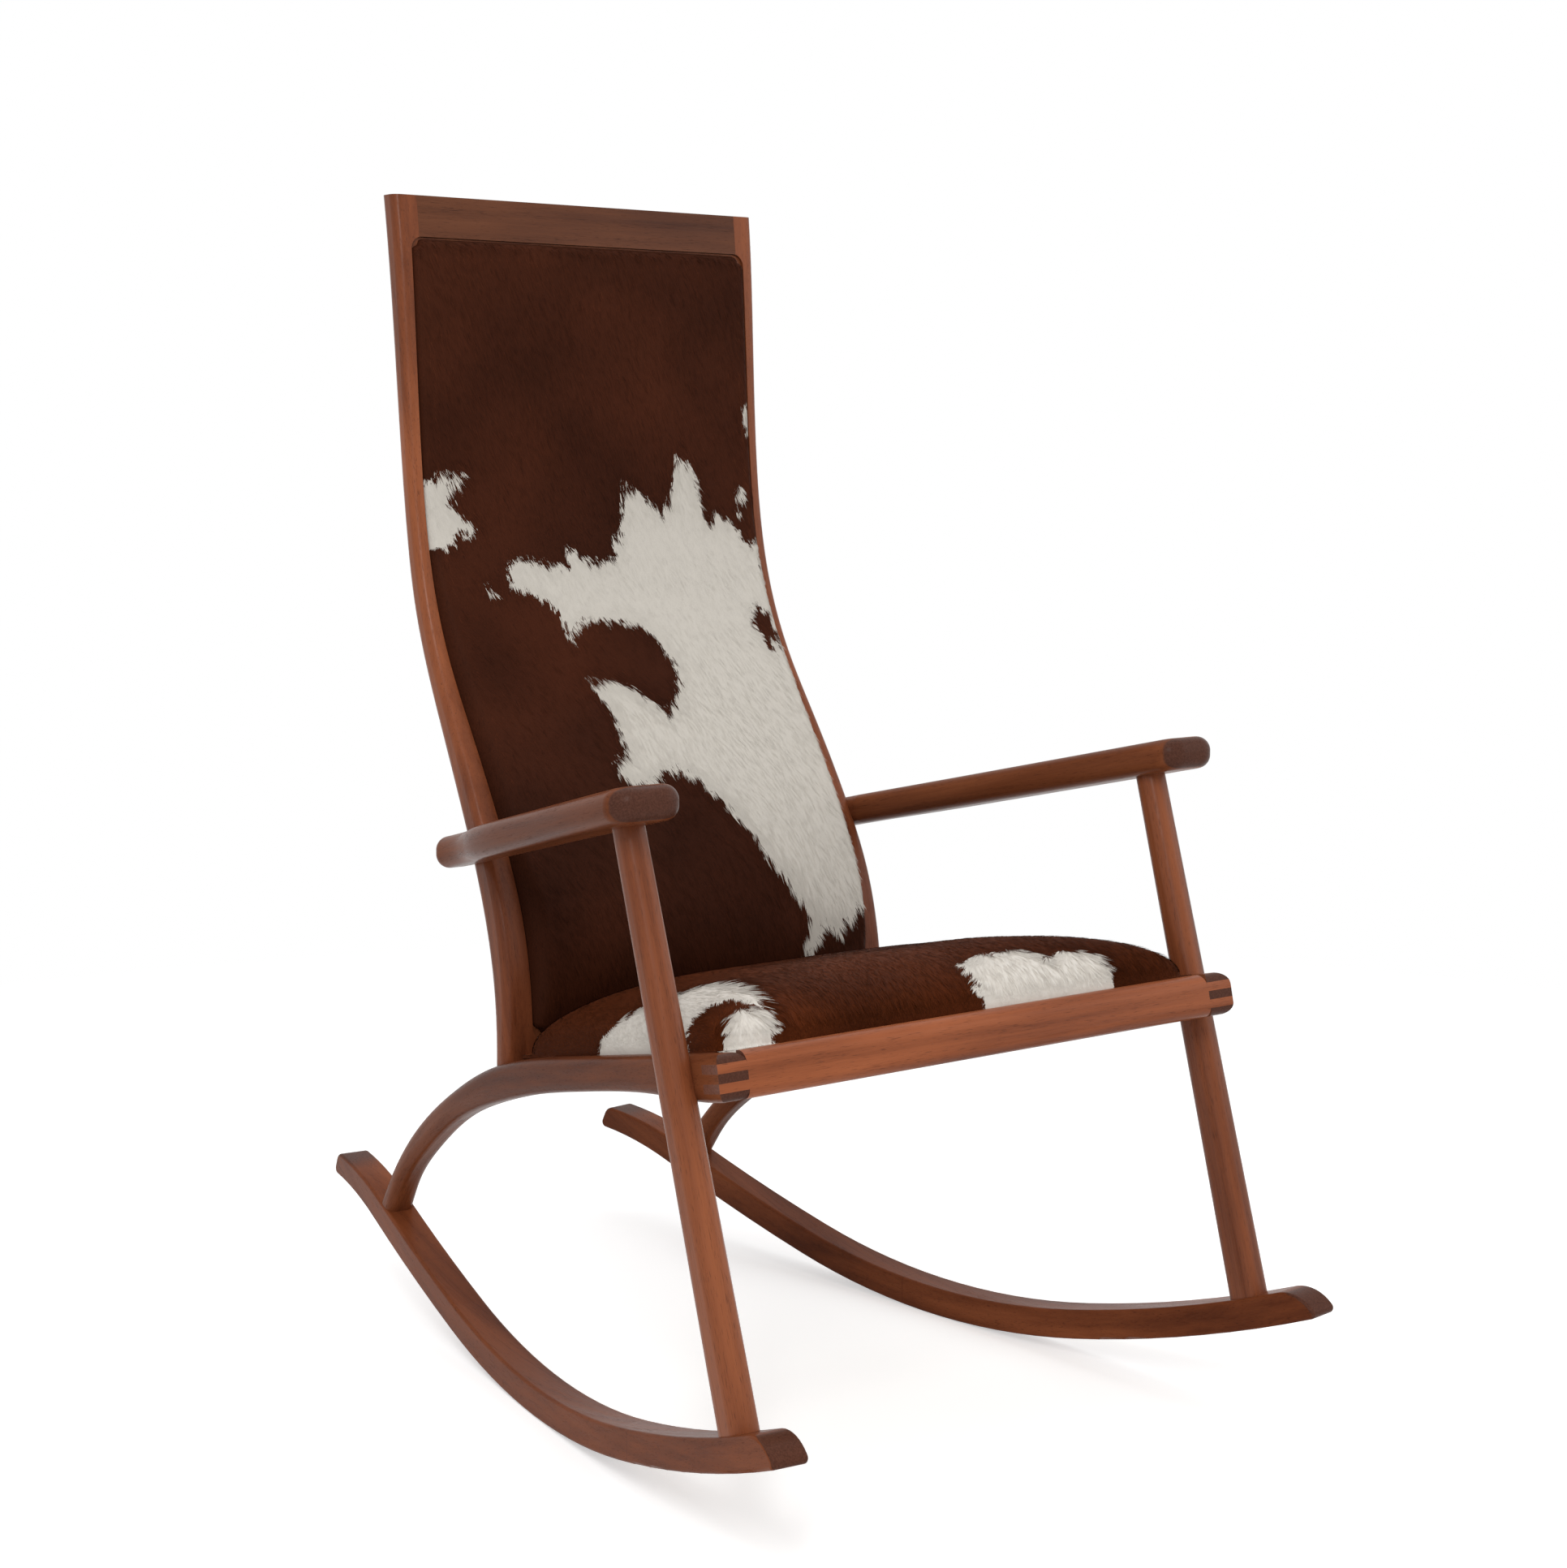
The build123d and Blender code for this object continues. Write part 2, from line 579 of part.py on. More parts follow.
rail_dowels = []
rear_x = inner_front - rail_lean * (rear_rail_front_y + rear_rail_deep / 2 - rail_front_y)
for step in rail_dowel_steps:
    spot = seat_plane.from_local_coords(Vector(-rear_x, rear_v + step, -rear_rail_high / 2 - 2))
    rail_dowels.append(pegAt(spot, (1, 0, 0), dowel_radius, -dowel_long / 2, dowel_long / 2))
    bore = pegAt(spot, (1, 0, 0), dowel_radius + fit_gap, -dowel_long / 2 - hole_spare,
                 dowel_long / 2 + hole_spare)
    side_rail = side_rail - bore
    rear_rail = rear_rail - bore - mirrorX(bore)

post_dowels = []
post_spot_y = rear_rail_front_y + rear_rail_deep + dowel_radius
post_spot_x = rail_outer_front - rail_lean * (post_spot_y - rail_front_y) - rail_thick / 2 - 3
post_spot = (-post_spot_x, post_spot_y, railTop((post_spot_y - rail_front_y) / plan_cos) - post_dowel_half / 2)
post_dowels.append(pegAt(post_spot, (0, 0, 1), dowel_radius, -post_dowel_half, post_dowel_half))
bore = pegAt(post_spot, (0, 0, 1), dowel_radius + fit_gap, -post_dowel_half - hole_spare,
             post_dowel_half + hole_spare)
back_post = back_post - bore
side_rail = side_rail - bore
rear_rail = rear_rail - bore - mirrorX(bore)

arm_join_z = armTop(arm_rear_y - 29) - arm_thick / 2
front_spots = [back_front @ (step / 200) for step in range(201)]
arm_join_y = min(front_spots, key=lambda spot: abs(spot.Y - arm_join_z)).X + 15
arm_spot = (-post_inner_x - 26, arm_join_y, arm_join_z)
arm_dowels = [pegAt(arm_spot, (-1, 0, 0), dowel_radius, -crest_dowel_grip, arm_dowel_grip)]
arm_bore = pegAt(arm_spot, (-1, 0, 0), dowel_radius + fit_gap, -crest_dowel_grip - hole_spare,
                 arm_dowel_grip + hole_spare)
back_post = back_post - arm_bore
arm = arm - arm_bore


# screws that hold the two panels down on their steps: head in a counterbore, shank into the board
def screwAt(spot, direction, wood):
    # spot is on the step, direction points into the board
    head = pegAt(spot, direction, screw_head_radius, -wood - screw_head_high, -wood)
    return head + pegAt(spot, direction, screw_radius, -wood, screw_grip)


def screwHole(spot, direction, wood):
    counterbore = pegAt(spot, direction, screw_head_radius + fit_gap, -wood - 40, -wood)
    return counterbore + pegAt(spot, direction, screw_radius + fit_gap, -wood, screw_grip + hole_spare)


def backPlace(height):
    # point and forward direction on the floor of the back recess
    spots = [back_front @ (step / 400) for step in range(401)]
    nearest = min(range(401), key=lambda step: abs(spots[step].Y - height))
    ahead = back_front % (nearest / 400)
    forward = Vector(0, -ahead.Y, ahead.X)
    face = Vector(-(post_inner_x + panel_half) / 2, spots[nearest].X, spots[nearest].Y)
    return face - forward * rabbet_deep, forward


back_screws = []
for height in back_screw_heights:
    spot, forward = backPlace(backHeight(height))
    back_screws.append(screwAt(spot, forward, back_screw_wood))
    hole = screwHole(spot, forward, back_screw_wood)
    back_post = back_post - hole
    back_board = back_board - hole - mirrorX(hole)

seat_screws = []
for place in seat_screw_places:
    step_x = inner_front + rabbet_wide / 2 - rail_lean * (place - rail_front_y)
    spot = seat_plane.from_local_coords(Vector(-step_x, seatRun(place), -rabbet_deep))
    seat_screws.append(screwAt(spot, seat_plane.z_dir, seat_screw_wood))
    hole = screwHole(spot, seat_plane.z_dir, seat_screw_wood)
    side_rail = side_rail - hole
    seat_board = seat_board - hole - mirrorX(hole)

parts["rocker_right"] = rocker
parts["front_leg_right"] = front_leg
parts["side_rail_right"] = side_rail
parts["back_post_right"] = back_post
parts["arm_right"] = arm
for name in list(parts):
    parts[name.replace("_right", "_left")] = mirrorX(parts[name])
parts["front_rail"] = front_rail
parts["rear_seat_rail"] = rear_rail
parts["crest_rail"] = crest_rail
parts["back_board"] = back_board
parts["back_foam"] = back_foam
parts["back_hide"] = back_hide
parts["seat_board"] = seat_board
parts["seat_foam"] = seat_foam
parts["seat_hide"] = seat_hide
parts["crest_dowels"] = Compound(children=crest_dowels + [mirrorX(d) for d in crest_dowels])
parts["seat_rail_dowels"] = Compound(children=rail_dowels + [mirrorX(d) for d in rail_dowels])
parts["post_foot_dowels"] = Compound(children=post_dowels + [mirrorX(d) for d in post_dowels])
parts["arm_dowels"] = Compound(children=arm_dowels + [mirrorX(d) for d in arm_dowels])
parts["back_screws"] = Compound(children=back_screws + [mirrorX(s) for s in back_screws])
parts["seat_screws"] = Compound(children=seat_screws + [mirrorX(s) for s in seat_screws])

# ------------------------------------------------------------------ place and write
whole = Compound(children=[Compound(children=p.solids()) for p in parts.values()])
box = whole.bounding_box()
shift = Pos(-(box.min.X + box.max.X) / 2, -(box.min.Y + box.max.Y) / 2, -box.min.Z)
os.makedirs("parts", exist_ok=True)
for name, shape in parts.items():
    placed = shift * shape
    solids = placed.solids()
    print(name, len(solids), "solids", round(placed.volume / 1000, 1), "cm3", placed.is_valid)
    export_step(placed, "parts/" + name + ".step")
size = box.size
print("overall", round(size.X, 1), round(size.Y, 1), round(size.Z, 1))
print("shift", shift.position)
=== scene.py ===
import math

import bpy
import numpy as np
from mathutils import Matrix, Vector
from mathutils.bvhtree import BVHTree


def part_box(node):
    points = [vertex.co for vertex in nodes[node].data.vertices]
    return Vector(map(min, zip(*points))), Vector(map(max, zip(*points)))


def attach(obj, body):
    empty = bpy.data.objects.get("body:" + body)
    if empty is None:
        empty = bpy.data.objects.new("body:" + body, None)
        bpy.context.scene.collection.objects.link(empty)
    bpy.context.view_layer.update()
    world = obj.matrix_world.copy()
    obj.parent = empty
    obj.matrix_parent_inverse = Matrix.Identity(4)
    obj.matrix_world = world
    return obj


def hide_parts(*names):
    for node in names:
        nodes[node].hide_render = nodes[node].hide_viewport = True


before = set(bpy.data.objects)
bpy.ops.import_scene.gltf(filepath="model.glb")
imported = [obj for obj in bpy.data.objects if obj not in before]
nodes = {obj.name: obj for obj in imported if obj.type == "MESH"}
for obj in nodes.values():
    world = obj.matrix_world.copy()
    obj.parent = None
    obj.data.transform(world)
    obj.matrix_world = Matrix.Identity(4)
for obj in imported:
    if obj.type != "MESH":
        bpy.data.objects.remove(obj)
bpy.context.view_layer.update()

# Rocking chair in oiled walnut, with hair-on cowhide over the seat and back panels.
# Metres; the sitter faces -Y, so the sitter's right side is at -X.

fullTurn = 6.283     # radians
seatFall = 0.213     # fall of the seat frame per unit run to the rear


# camera
cameraSet = {
    "place": (-1.43325, -2.0220, 0.87363),
    "look": (0.5888, 0.7986, -0.1243),
    "lens": 59.63,  # on a 36 mm frame
}


def makeCamera(s):
    data = bpy.data.cameras.new("camera")
    data.lens = s["lens"]
    data.sensor_width = 36
    data.clip_end = 50
    cam = bpy.data.objects.new("camera", data)
    bpy.context.scene.collection.objects.link(cam)
    cam.location = s["place"]
    cam.rotation_euler = Vector(s["look"]).to_track_quat("-Z", "Y").to_euler()
    bpy.context.scene.camera = cam


makeCamera(cameraSet)
print("camera placed")


# node helpers
def tint(red, green, blue):
    # a colour as a paint chart gives it, 0 to 255, turned into what the shader wants
    return tuple(((c / 255 + 0.055) / 1.055) ** 2.4 for c in (red, green, blue))


def newMaterial(name):
    mat = bpy.data.materials.new(name)
    mat.use_nodes = True
    tree = mat.node_tree
    tree.nodes.clear()
    out = tree.nodes.new("ShaderNodeOutputMaterial")
    skin = tree.nodes.new("ShaderNodeBsdfPrincipled")
    tree.links.new(skin.outputs[0], out.inputs[0])
    return mat, tree, skin


def noise(tree, vector, scale, detail=4.0, rough=0.55, twist=0.0):
    n = tree.nodes.new("ShaderNodeTexNoise")
    n.inputs["Scale"].default_value = scale
    n.inputs["Detail"].default_value = detail
    n.inputs["Roughness"].default_value = rough
    n.inputs["Distortion"].default_value = twist
    tree.links.new(vector, n.inputs["Vector"])
    return n.outputs["Fac"]


def stretched(tree, vector, turn, scale, shift=(0, 0, 0)):
    # turn the pattern so that its X runs along the piece, then scale it
    spin = tree.nodes.new("ShaderNodeMapping")
    spin.inputs["Rotation"].default_value = turn
    spin.inputs["Location"].default_value = shift
    tree.links.new(vector, spin.inputs["Vector"])
    size = tree.nodes.new("ShaderNodeMapping")
    size.inputs["Scale"].default_value = scale
    tree.links.new(spin.outputs[0], size.inputs["Vector"])
    return size.outputs[0]


def ramp(tree, fac, stops):
    r = tree.nodes.new("ShaderNodeValToRGB")
    r.color_ramp.elements[0].position = stops[0][0]
    r.color_ramp.elements[0].color = (*stops[0][1], 1)
    r.color_ramp.elements[1].position = stops[-1][0]
    r.color_ramp.elements[1].color = (*stops[-1][1], 1)
    for at, colour in stops[1:-1]:
        e = r.color_ramp.elements.new(at)
        e.color = (*colour, 1)
    tree.links.new(fac, r.inputs[0])
    return r.outputs[0]


def span(tree, value, low, high, toLow=0.0, toHigh=1.0):
    m = tree.nodes.new("ShaderNodeMapRange")
    m.inputs["From Min"].default_value = low
    m.inputs["From Max"].default_value = high
    m.inputs["To Min"].default_value = toLow
    m.inputs["To Max"].default_value = toHigh
    tree.links.new(value, m.inputs["Value"])
    return m.outputs[0]


def sums(tree, kind, a, b=None):
    m = tree.nodes.new("ShaderNodeMath")
    m.operation = kind
    for socket, value in zip(m.inputs, (a, b)):
        if value is None:
            continue
        if isinstance(value, (int, float)):
            socket.default_value = value
        else:
            tree.links.new(value, socket)
    return m.outputs[0]


def weighed(tree, *pairs):
    # the sum of the values, each times its share
    total = None
    for value, share in pairs:
        part = sums(tree, "MULTIPLY", value, share)
        total = part if total is None else sums(tree, "ADD", total, part)
    return total


def dotted(tree, vector, way):
    d = tree.nodes.new("ShaderNodeVectorMath")
    d.operation = "DOT_PRODUCT"
    d.inputs[1].default_value = way
    tree.links.new(vector, d.inputs[0])
    return d.outputs["Value"]


def blendColour(tree, fac, a, b, kind="MIX"):
    m = tree.nodes.new("ShaderNodeMix")
    m.data_type = "RGBA"
    m.blend_type = kind
    plugs = [i for i in m.inputs if i.enabled]
    for socket, value in zip(plugs, (fac, a, b)):
        if isinstance(value, (int, float)):
            socket.default_value = value
        elif isinstance(value, tuple):
            socket.default_value = (*value, 1)
        else:
            tree.links.new(value, socket)
    return [o for o in m.outputs if o.enabled][0]


def bumped(tree, skin, height, strength, distance):
    b = tree.nodes.new("ShaderNodeBump")
    b.inputs["Strength"].default_value = strength
    b.inputs["Distance"].default_value = distance
    tree.links.new(height, b.inputs["Height"])
    tree.links.new(b.outputs[0], skin.inputs["Normal"])


# oiled walnut
walnut = {
    "dark": tint(88, 46, 28),
    "middle": tint(121, 68, 42),
    "light": tint(147, 87, 56),
    "pore": tint(58, 29, 18),
    "endGrain": tint(84, 55, 46),
    "roughness": 0.29,
    # scale of each pattern along the grain and across it
    "wander": (1.6, 8, 8),
    "broad": (1.9, 15, 15),
    "streaks": (5, 170, 170),
    "fibre": (26, 1100, 1100),
    "pores": (95, 1500, 1500),
    "specks": (260, 700, 700),
    # how much each pattern counts in the colour
    "shares": {"broad": 0.66, "streaks": 0.24, "rings": -0.03, "fibre": 0.10},
    "stops": (0.32, 0.50, 0.70),    # where dark, middle and light lie
    "ringsPerMetre": 60,
    "ringLie": (0, 0.62, 0.78),     # the way from ring to ring, across the grain
    "ringWander": 22,
    "ringPower": 2.2,               # over 1 thins the rings
    "poreRange": (0.63, 0.74),
    "poreDepth": 0.5,
    "endDepth": 0.92,
    "glueWidth": (0.0002, 0.0010),  # where a glue line is full, and where it has faded out
    "glueDepth": 0.45,
    "seedSteps": (0.37, 0.11, 0.23),
}


def straightGrain(tree, coords, along, shift):
    # coordinates with X along the grain, and how squarely a face is cut across it
    turn = Vector(along).rotation_difference(Vector((1, 0, 0))).to_euler()
    face = tree.nodes.new("ShaderNodeTexCoord").outputs["Normal"]
    ends = sums(tree, "ABSOLUTE", dotted(tree, face, Vector(along).normalized()))
    return stretched(tree, coords, turn, (1, 1, 1), shift), ends


def bentGrain(tree, coords, bend, shift):
    # the grain follows a bend in a plane of constant X: straight ahead of the centre at its own
    # tilt, and round the centre behind it; a rocker is round all the way
    spun = stretched(tree, coords, (bend["tilt"], 0, 0), (1, 1, 1))
    centre = tree.nodes.new("ShaderNodeVectorMath")
    centre.operation = "SUBTRACT"
    centre.inputs[1].default_value = bend["centre"]
    tree.links.new(spun, centre.inputs[0])
    x, y, z = [dotted(tree, centre.outputs[0], way) for way in ((1, 0, 0), (0, 1, 0), (0, 0, 1))]
    side = -1 if bend["hollowUp"] else 1  # the centre is above a rocker, and below a bent leg
    z = sums(tree, "MULTIPLY", z, side)
    turned = y if bend["hollowUp"] else sums(tree, "MAXIMUM", y, 0.0)
    angle = sums(tree, "ARCTAN2", turned, z)
    far = sums(tree, "ADD", sums(tree, "MULTIPLY", turned, turned), sums(tree, "MULTIPLY", z, z))
    far = sums(tree, "SQRT", far)
    run = sums(tree, "MULTIPLY", angle, bend["radius"])
    if not bend["hollowUp"]:
        run = sums(tree, "ADD", run, sums(tree, "MINIMUM", y, 0.0))
    place = tree.nodes.new("ShaderNodeCombineXYZ")
    for socket, value, extra in zip(place.inputs, (run, x, far), shift):
        tree.links.new(sums(tree, "ADD", value, extra), socket)
    # the way the grain runs here, against the way the face looks
    face = tree.nodes.new("ShaderNodeTexCoord").outputs["Normal"]
    face = stretched(tree, face, (bend["tilt"], 0, 0), (1, 1, 1))
    ahead = sums(tree, "MULTIPLY", sums(tree, "COSINE", angle), dotted(tree, face, (0, 1, 0)))
    rise = sums(tree, "MULTIPLY", sums(tree, "SINE", angle), dotted(tree, face, (0, 0, -side)))
    return place.outputs[0], sums(tree, "ABSOLUTE", sums(tree, "ADD", ahead, rise))


def makeWood(name, along, seed, tone=1.0, warm=1.0, cut=(0.62, 0.9), joints=(), bend=None, shine=0.12):
    # along is the way the grain runs; tone brightens, warm pushes toward orange; cut says how
    # squarely a face must cross the grain before it darkens as end grain; shine is the oil's
    mat, tree, skin = newMaterial(name)
    coords = tree.nodes.new("ShaderNodeTexCoord").outputs["Object"]
    shift = tuple(seed * step for step in walnut["seedSteps"])
    if bend:
        place, ends = bentGrain(tree, coords, bend, shift)
    else:
        place, ends = straightGrain(tree, coords, along, shift)

    def shade(colour):
        r, g, b = colour
        return (min(1, r * tone * warm), min(1, g * tone), min(1, b * tone / warm))

    def fine(scale, detail, rough=0.55, twist=0.0):
        return noise(tree, stretched(tree, place, (0, 0, 0), scale), 1.0, detail, rough, twist)

    # growth rings cut lengthwise, wandering slowly, under long soft streaks
    wander = fine(walnut["wander"], 3)
    across = dotted(tree, place, walnut["ringLie"])
    phase = weighed(tree, (across, walnut["ringsPerMetre"] * fullTurn), (wander, walnut["ringWander"]))
    rings = sums(tree, "POWER", span(tree, sums(tree, "SINE", phase), -1, 1), walnut["ringPower"])
    patterns = {
        "broad": fine(walnut["broad"], 3, 0.5, 0.5),
        "streaks": fine(walnut["streaks"], 5, 0.62, 0.2),
        "rings": rings,
        "fibre": fine(walnut["fibre"], 3, 0.7),
    }
    streaks, fibre = patterns["streaks"], patterns["fibre"]
    body = weighed(tree, *[(patterns[key], share) for key, share in walnut["shares"].items()])
    colours = [shade(walnut[key]) for key in ("dark", "middle", "light")]
    colour = ramp(tree, body, list(zip(walnut["stops"], colours)))
    # open pores: short dark dashes, closer together in some bands than in others
    pores = sums(tree, "ADD", fine(walnut["pores"], 1, 0.5), sums(tree, "MULTIPLY", rings, 0.05))
    pores = span(tree, pores, *walnut["poreRange"])
    depth = sums(tree, "MULTIPLY", pores, walnut["poreDepth"])
    colour = blendColour(tree, depth, colour, shade(walnut["pore"]))
    for start, normal in joints:  # glue lines across the piece
        off = sums(tree, "ABSOLUTE", sums(tree, "SUBTRACT", dotted(tree, coords, normal), start))
        line = span(tree, off, *walnut["glueWidth"], 1, 0)
        depth = sums(tree, "MULTIPLY", line, walnut["glueDepth"])
        colour = blendColour(tree, depth, colour, shade(walnut["dark"]))
    # end grain drinks more oil and darkens
    speck = fine(walnut["specks"], 2)
    endLow, endHigh = [shade(tuple(c * by for c in walnut["endGrain"])) for by in (0.7, 1.25)]
    endColour = ramp(tree, speck, [(0.3, endLow), (0.7, endHigh)])
    depth = sums(tree, "MULTIPLY", span(tree, ends, *cut), walnut["endDepth"])
    colour = blendColour(tree, depth, colour, endColour)
    tree.links.new(colour, skin.inputs["Base Color"])
    gloss = sums(tree, "ADD", span(tree, streaks, 0.3, 0.7, -0.04, 0.06), walnut["roughness"])
    gloss = sums(tree, "ADD", gloss, sums(tree, "MULTIPLY", pores, 0.15))
    tree.links.new(gloss, skin.inputs["Roughness"])
    skin.inputs["Specular IOR Level"].default_value = shine
    relief = sums(tree, "SUBTRACT", sums(tree, "MULTIPLY", fibre, 0.3), pores)
    bumped(tree, skin, relief, 0.2, 0.0002)
    return mat


def dress(node, material):
    mesh = nodes[node].data
    mesh.materials.clear()
    mesh.materials.append(material)


# the way the grain runs in each piece, its lightness, its warmth and the shine of its oil
roundRocker = {"tilt": 0, "centre": (0, -0.02, 1.16), "radius": 1.15, "hollowUp": True}
bentLeg = {"tilt": math.atan(seatFall), "centre": (0, -0.022, -0.25), "radius": 0.57, "hollowUp": False}
woodPieces = {
    "rocker": {"along": (0.13, 0.99, 0), "tone": 0.92, "warm": 1.09, "cut": (0.26, 0.34),
               "bend": roundRocker, "shine": 0.04},
    "front_leg": {"along": (-0.01, 0.29, 0.95), "tone": 1.12, "warm": 1.05, "cut": (0.6, 0.8),
                  "shine": 0.17},
    "side_rail": {"along": (0.11, 0.97, -0.21), "tone": 0.86, "warm": 1.04, "cut": (0.3, 0.42),
                  "bend": bentLeg, "shine": 0.04},
    "back_post": {"along": (0.0, 0.22, 0.97), "tone": 1.08, "warm": 1.07, "cut": (0.75, 0.9),
                  "shine": 0.15},
    "arm": {"along": (0.15, 0.96, -0.22), "tone": 0.86, "warm": 1.03, "cut": (0.34, 0.44),
            "shine": 0.05},
}
# glue lines of the built-up rockers: distance of each from the middle, along the rocker
rockerJoints = {"right": (-0.27, 0.21), "left": (-0.02, 0.30)}
for seed, (piece, s) in enumerate(woodPieces.items()):
    for side, sign in (("right", 1), ("left", -1)):
        x, y, z = s["along"]
        along = (x * sign, y, z)
        joints = [(at, along) for at in rockerJoints[side]] if piece == "rocker" else ()
        wood = makeWood("walnut " + piece + " " + side, along, seed * 2 + sign + 3, s["tone"],
                        s["warm"], s["cut"], joints, s.get("bend"), s["shine"])
        dress(piece + "_" + side, wood)
sideways = (1, 0, 0)
dress("front_rail", makeWood("walnut front rail", sideways, seed=13, tone=1.55, warm=1.06, cut=(0.5, 0.6)))
dress("rear_seat_rail", makeWood("walnut rear rail", sideways, seed=14))
# the crest is made darker and cooler than the other pieces: painted shade
dress("crest_rail", makeWood("walnut crest", sideways, seed=17, tone=0.74, warm=0.90))
# a cut over 1 leaves the veneer without end grain
dress("back_board", makeWood("walnut veneer", (0, 0.1, 1), seed=19, tone=0.95, cut=(2, 3)))
print("wood done")


# bare birch ply and dowels
birch = {
    "board": (0.45, 0.30, 0.16),
    "dowel": (0.42, 0.27, 0.14),
    "streak": (6, 240, 240),    # scale along the grain and across it
    "dark": 0.72,               # the dark of a streak, as a share of the colour
    "roughness": (0.6, 0.72),
}


def makeBirch(name, along, colour):
    mat, tree, skin = newMaterial(name)
    coords = tree.nodes.new("ShaderNodeTexCoord").outputs["Object"]
    turn = Vector(along).rotation_difference(Vector((1, 0, 0))).to_euler()
    streak = noise(tree, stretched(tree, coords, turn, birch["streak"]), 1.0, 4, 0.6, 0.4)
    dark = tuple(c * birch["dark"] for c in colour)
    tree.links.new(ramp(tree, streak, [(0.3, dark), (0.7, colour)]), skin.inputs["Base Color"])
    tree.links.new(span(tree, streak, 0.3, 0.7, *birch["roughness"]), skin.inputs["Roughness"])
    bumped(tree, skin, streak, 0.2, 0.0003)
    return mat


# screws
steel = {
    "dark": (0.42, 0.42, 0.43),
    "light": (0.6, 0.6, 0.61),
    "scuff": 900,
    "roughness": (0.28, 0.42),
}


def makeSteel():
    mat, tree, skin = newMaterial("screw steel")
    coords = tree.nodes.new("ShaderNodeTexCoord").outputs["Object"]
    scuff = noise(tree, coords, steel["scuff"], 3)
    colour = ramp(tree, scuff, [(0.3, steel["dark"]), (0.7, steel["light"])])
    tree.links.new(colour, skin.inputs["Base Color"])
    tree.links.new(span(tree, scuff, 0.3, 0.7, *steel["roughness"]), skin.inputs["Roughness"])
    skin.inputs["Metallic"].default_value = 1.0
    bumped(tree, skin, scuff, 0.1, 0.0001)
    return mat


dress("seat_board", makeBirch("birch ply", sideways, birch["board"]))
dowelBirch = makeBirch("dowel birch", sideways, birch["dowel"])
for node in ("crest_dowels", "seat_rail_dowels", "post_foot_dowels", "arm_dowels"):
    dress(node, dowelBirch)
screwSteel = makeSteel()
for node in ("back_screws", "seat_screws"):
    dress(node, screwSteel)


# cowhide with the hair on
hide = {
    "fray": 0.003,              # how far the edge of a patch wanders from lock to lock
    "blend": 0.0008,            # half width of the change from brown to white
    "patchReach": 0.03,         # the distance to a patch's edge is kept up to here
    # scale of each pattern along the hair and across it
    "locks": (30, 170, 170),
    "hair": (95, 1300, 1300),
    "fine": (180, 3200, 3200),
    "slow": 5.0,
    "toneInWhite": (0.93, 1.03),    # darkest and lightest single hair
    "toneInBrown": (0.55, 1.45),
    "roughness": (0.54, 0.7),
    "sheen": 0.01,
    "sheenRoughness": 0.4,
    "sheenTint": (0.9, 0.75, 0.65, 1),
    "anisotropic": 0.4,
    "bump": (0.22, 0.0004),     # strength and depth
}


def makeHide(name, flow, brown, cream, depth, gloss):
    # flow is the way the hair lies, depth how much the brown varies from lock to lock
    mat, tree, skin = newMaterial(name)
    coords = tree.nodes.new("ShaderNodeTexCoord").outputs["Object"]
    turn = Vector(flow).rotation_difference(Vector((1, 0, 0))).to_euler()
    locks = noise(tree, stretched(tree, coords, turn, hide["locks"]), 1.0, 4, 0.6, 0.4)
    hair = noise(tree, stretched(tree, coords, turn, hide["hair"]), 1.0, 4, 0.7, 0.2)
    fine = noise(tree, stretched(tree, coords, turn, hide["fine"]), 1.0, 2, 0.7)
    slow = noise(tree, coords, hide["slow"], 2)
    patch = tree.nodes.new("ShaderNodeAttribute")
    patch.attribute_name = "patch"
    # patch holds the distance to the edge of the white, in metres: positive inside
    fray = sums(tree, "ADD", span(tree, locks, 0.3, 0.7, -1, 1), span(tree, hair, 0.25, 0.75, -0.4, 0.4))
    edge = sums(tree, "ADD", patch.outputs["Fac"], sums(tree, "MULTIPLY", fray, hide["fray"]))
    white = span(tree, edge, -hide["blend"], hide["blend"])
    low = tuple(c * (1 - depth) for c in brown)
    high = tuple(c * (1 + depth * 1.5) for c in brown)
    share = weighed(tree, (slow, 0.5), (hair, 0.32), (fine, 0.18))
    brownHair = ramp(tree, share, [(0.36, low), (0.5, brown), (0.66, high)])
    share = weighed(tree, (locks, 0.3), (hair, 0.45), (fine, 0.25))
    creamHair = ramp(tree, share, [(0.34, tuple(c * 0.86 for c in cream)), (0.52, cream)])
    # each hair has a tone of its own, which shows more in the brown than in the white
    tone = tree.nodes.new("ShaderNodeAttribute")
    tone.attribute_name = "tone"
    weak = span(tree, tone.outputs["Fac"], 0, 1, *hide["toneInWhite"])
    strong = span(tree, tone.outputs["Fac"], 0, 1, *hide["toneInBrown"])
    brownHair = blendColour(tree, 1.0, brownHair, strong, "MULTIPLY")
    creamHair = blendColour(tree, 1.0, creamHair, weak, "MULTIPLY")
    tree.links.new(blendColour(tree, white, brownHair, creamHair), skin.inputs["Base Color"])
    tree.links.new(span(tree, hair, 0.3, 0.7, *hide["roughness"]), skin.inputs["Roughness"])
    skin.inputs["Specular IOR Level"].default_value = gloss
    skin.inputs["Sheen Weight"].default_value = hide["sheen"]
    skin.inputs["Sheen Roughness"].default_value = hide["sheenRoughness"]
    skin.inputs["Sheen Tint"].default_value = hide["sheenTint"]
    skin.inputs["Anisotropic"].default_value = hide["anisotropic"]
    bumped(tree, skin, weighed(tree, (hair, 0.6), (fine, 0.3), (locks, 0.35)), *hide["bump"])
    return mat


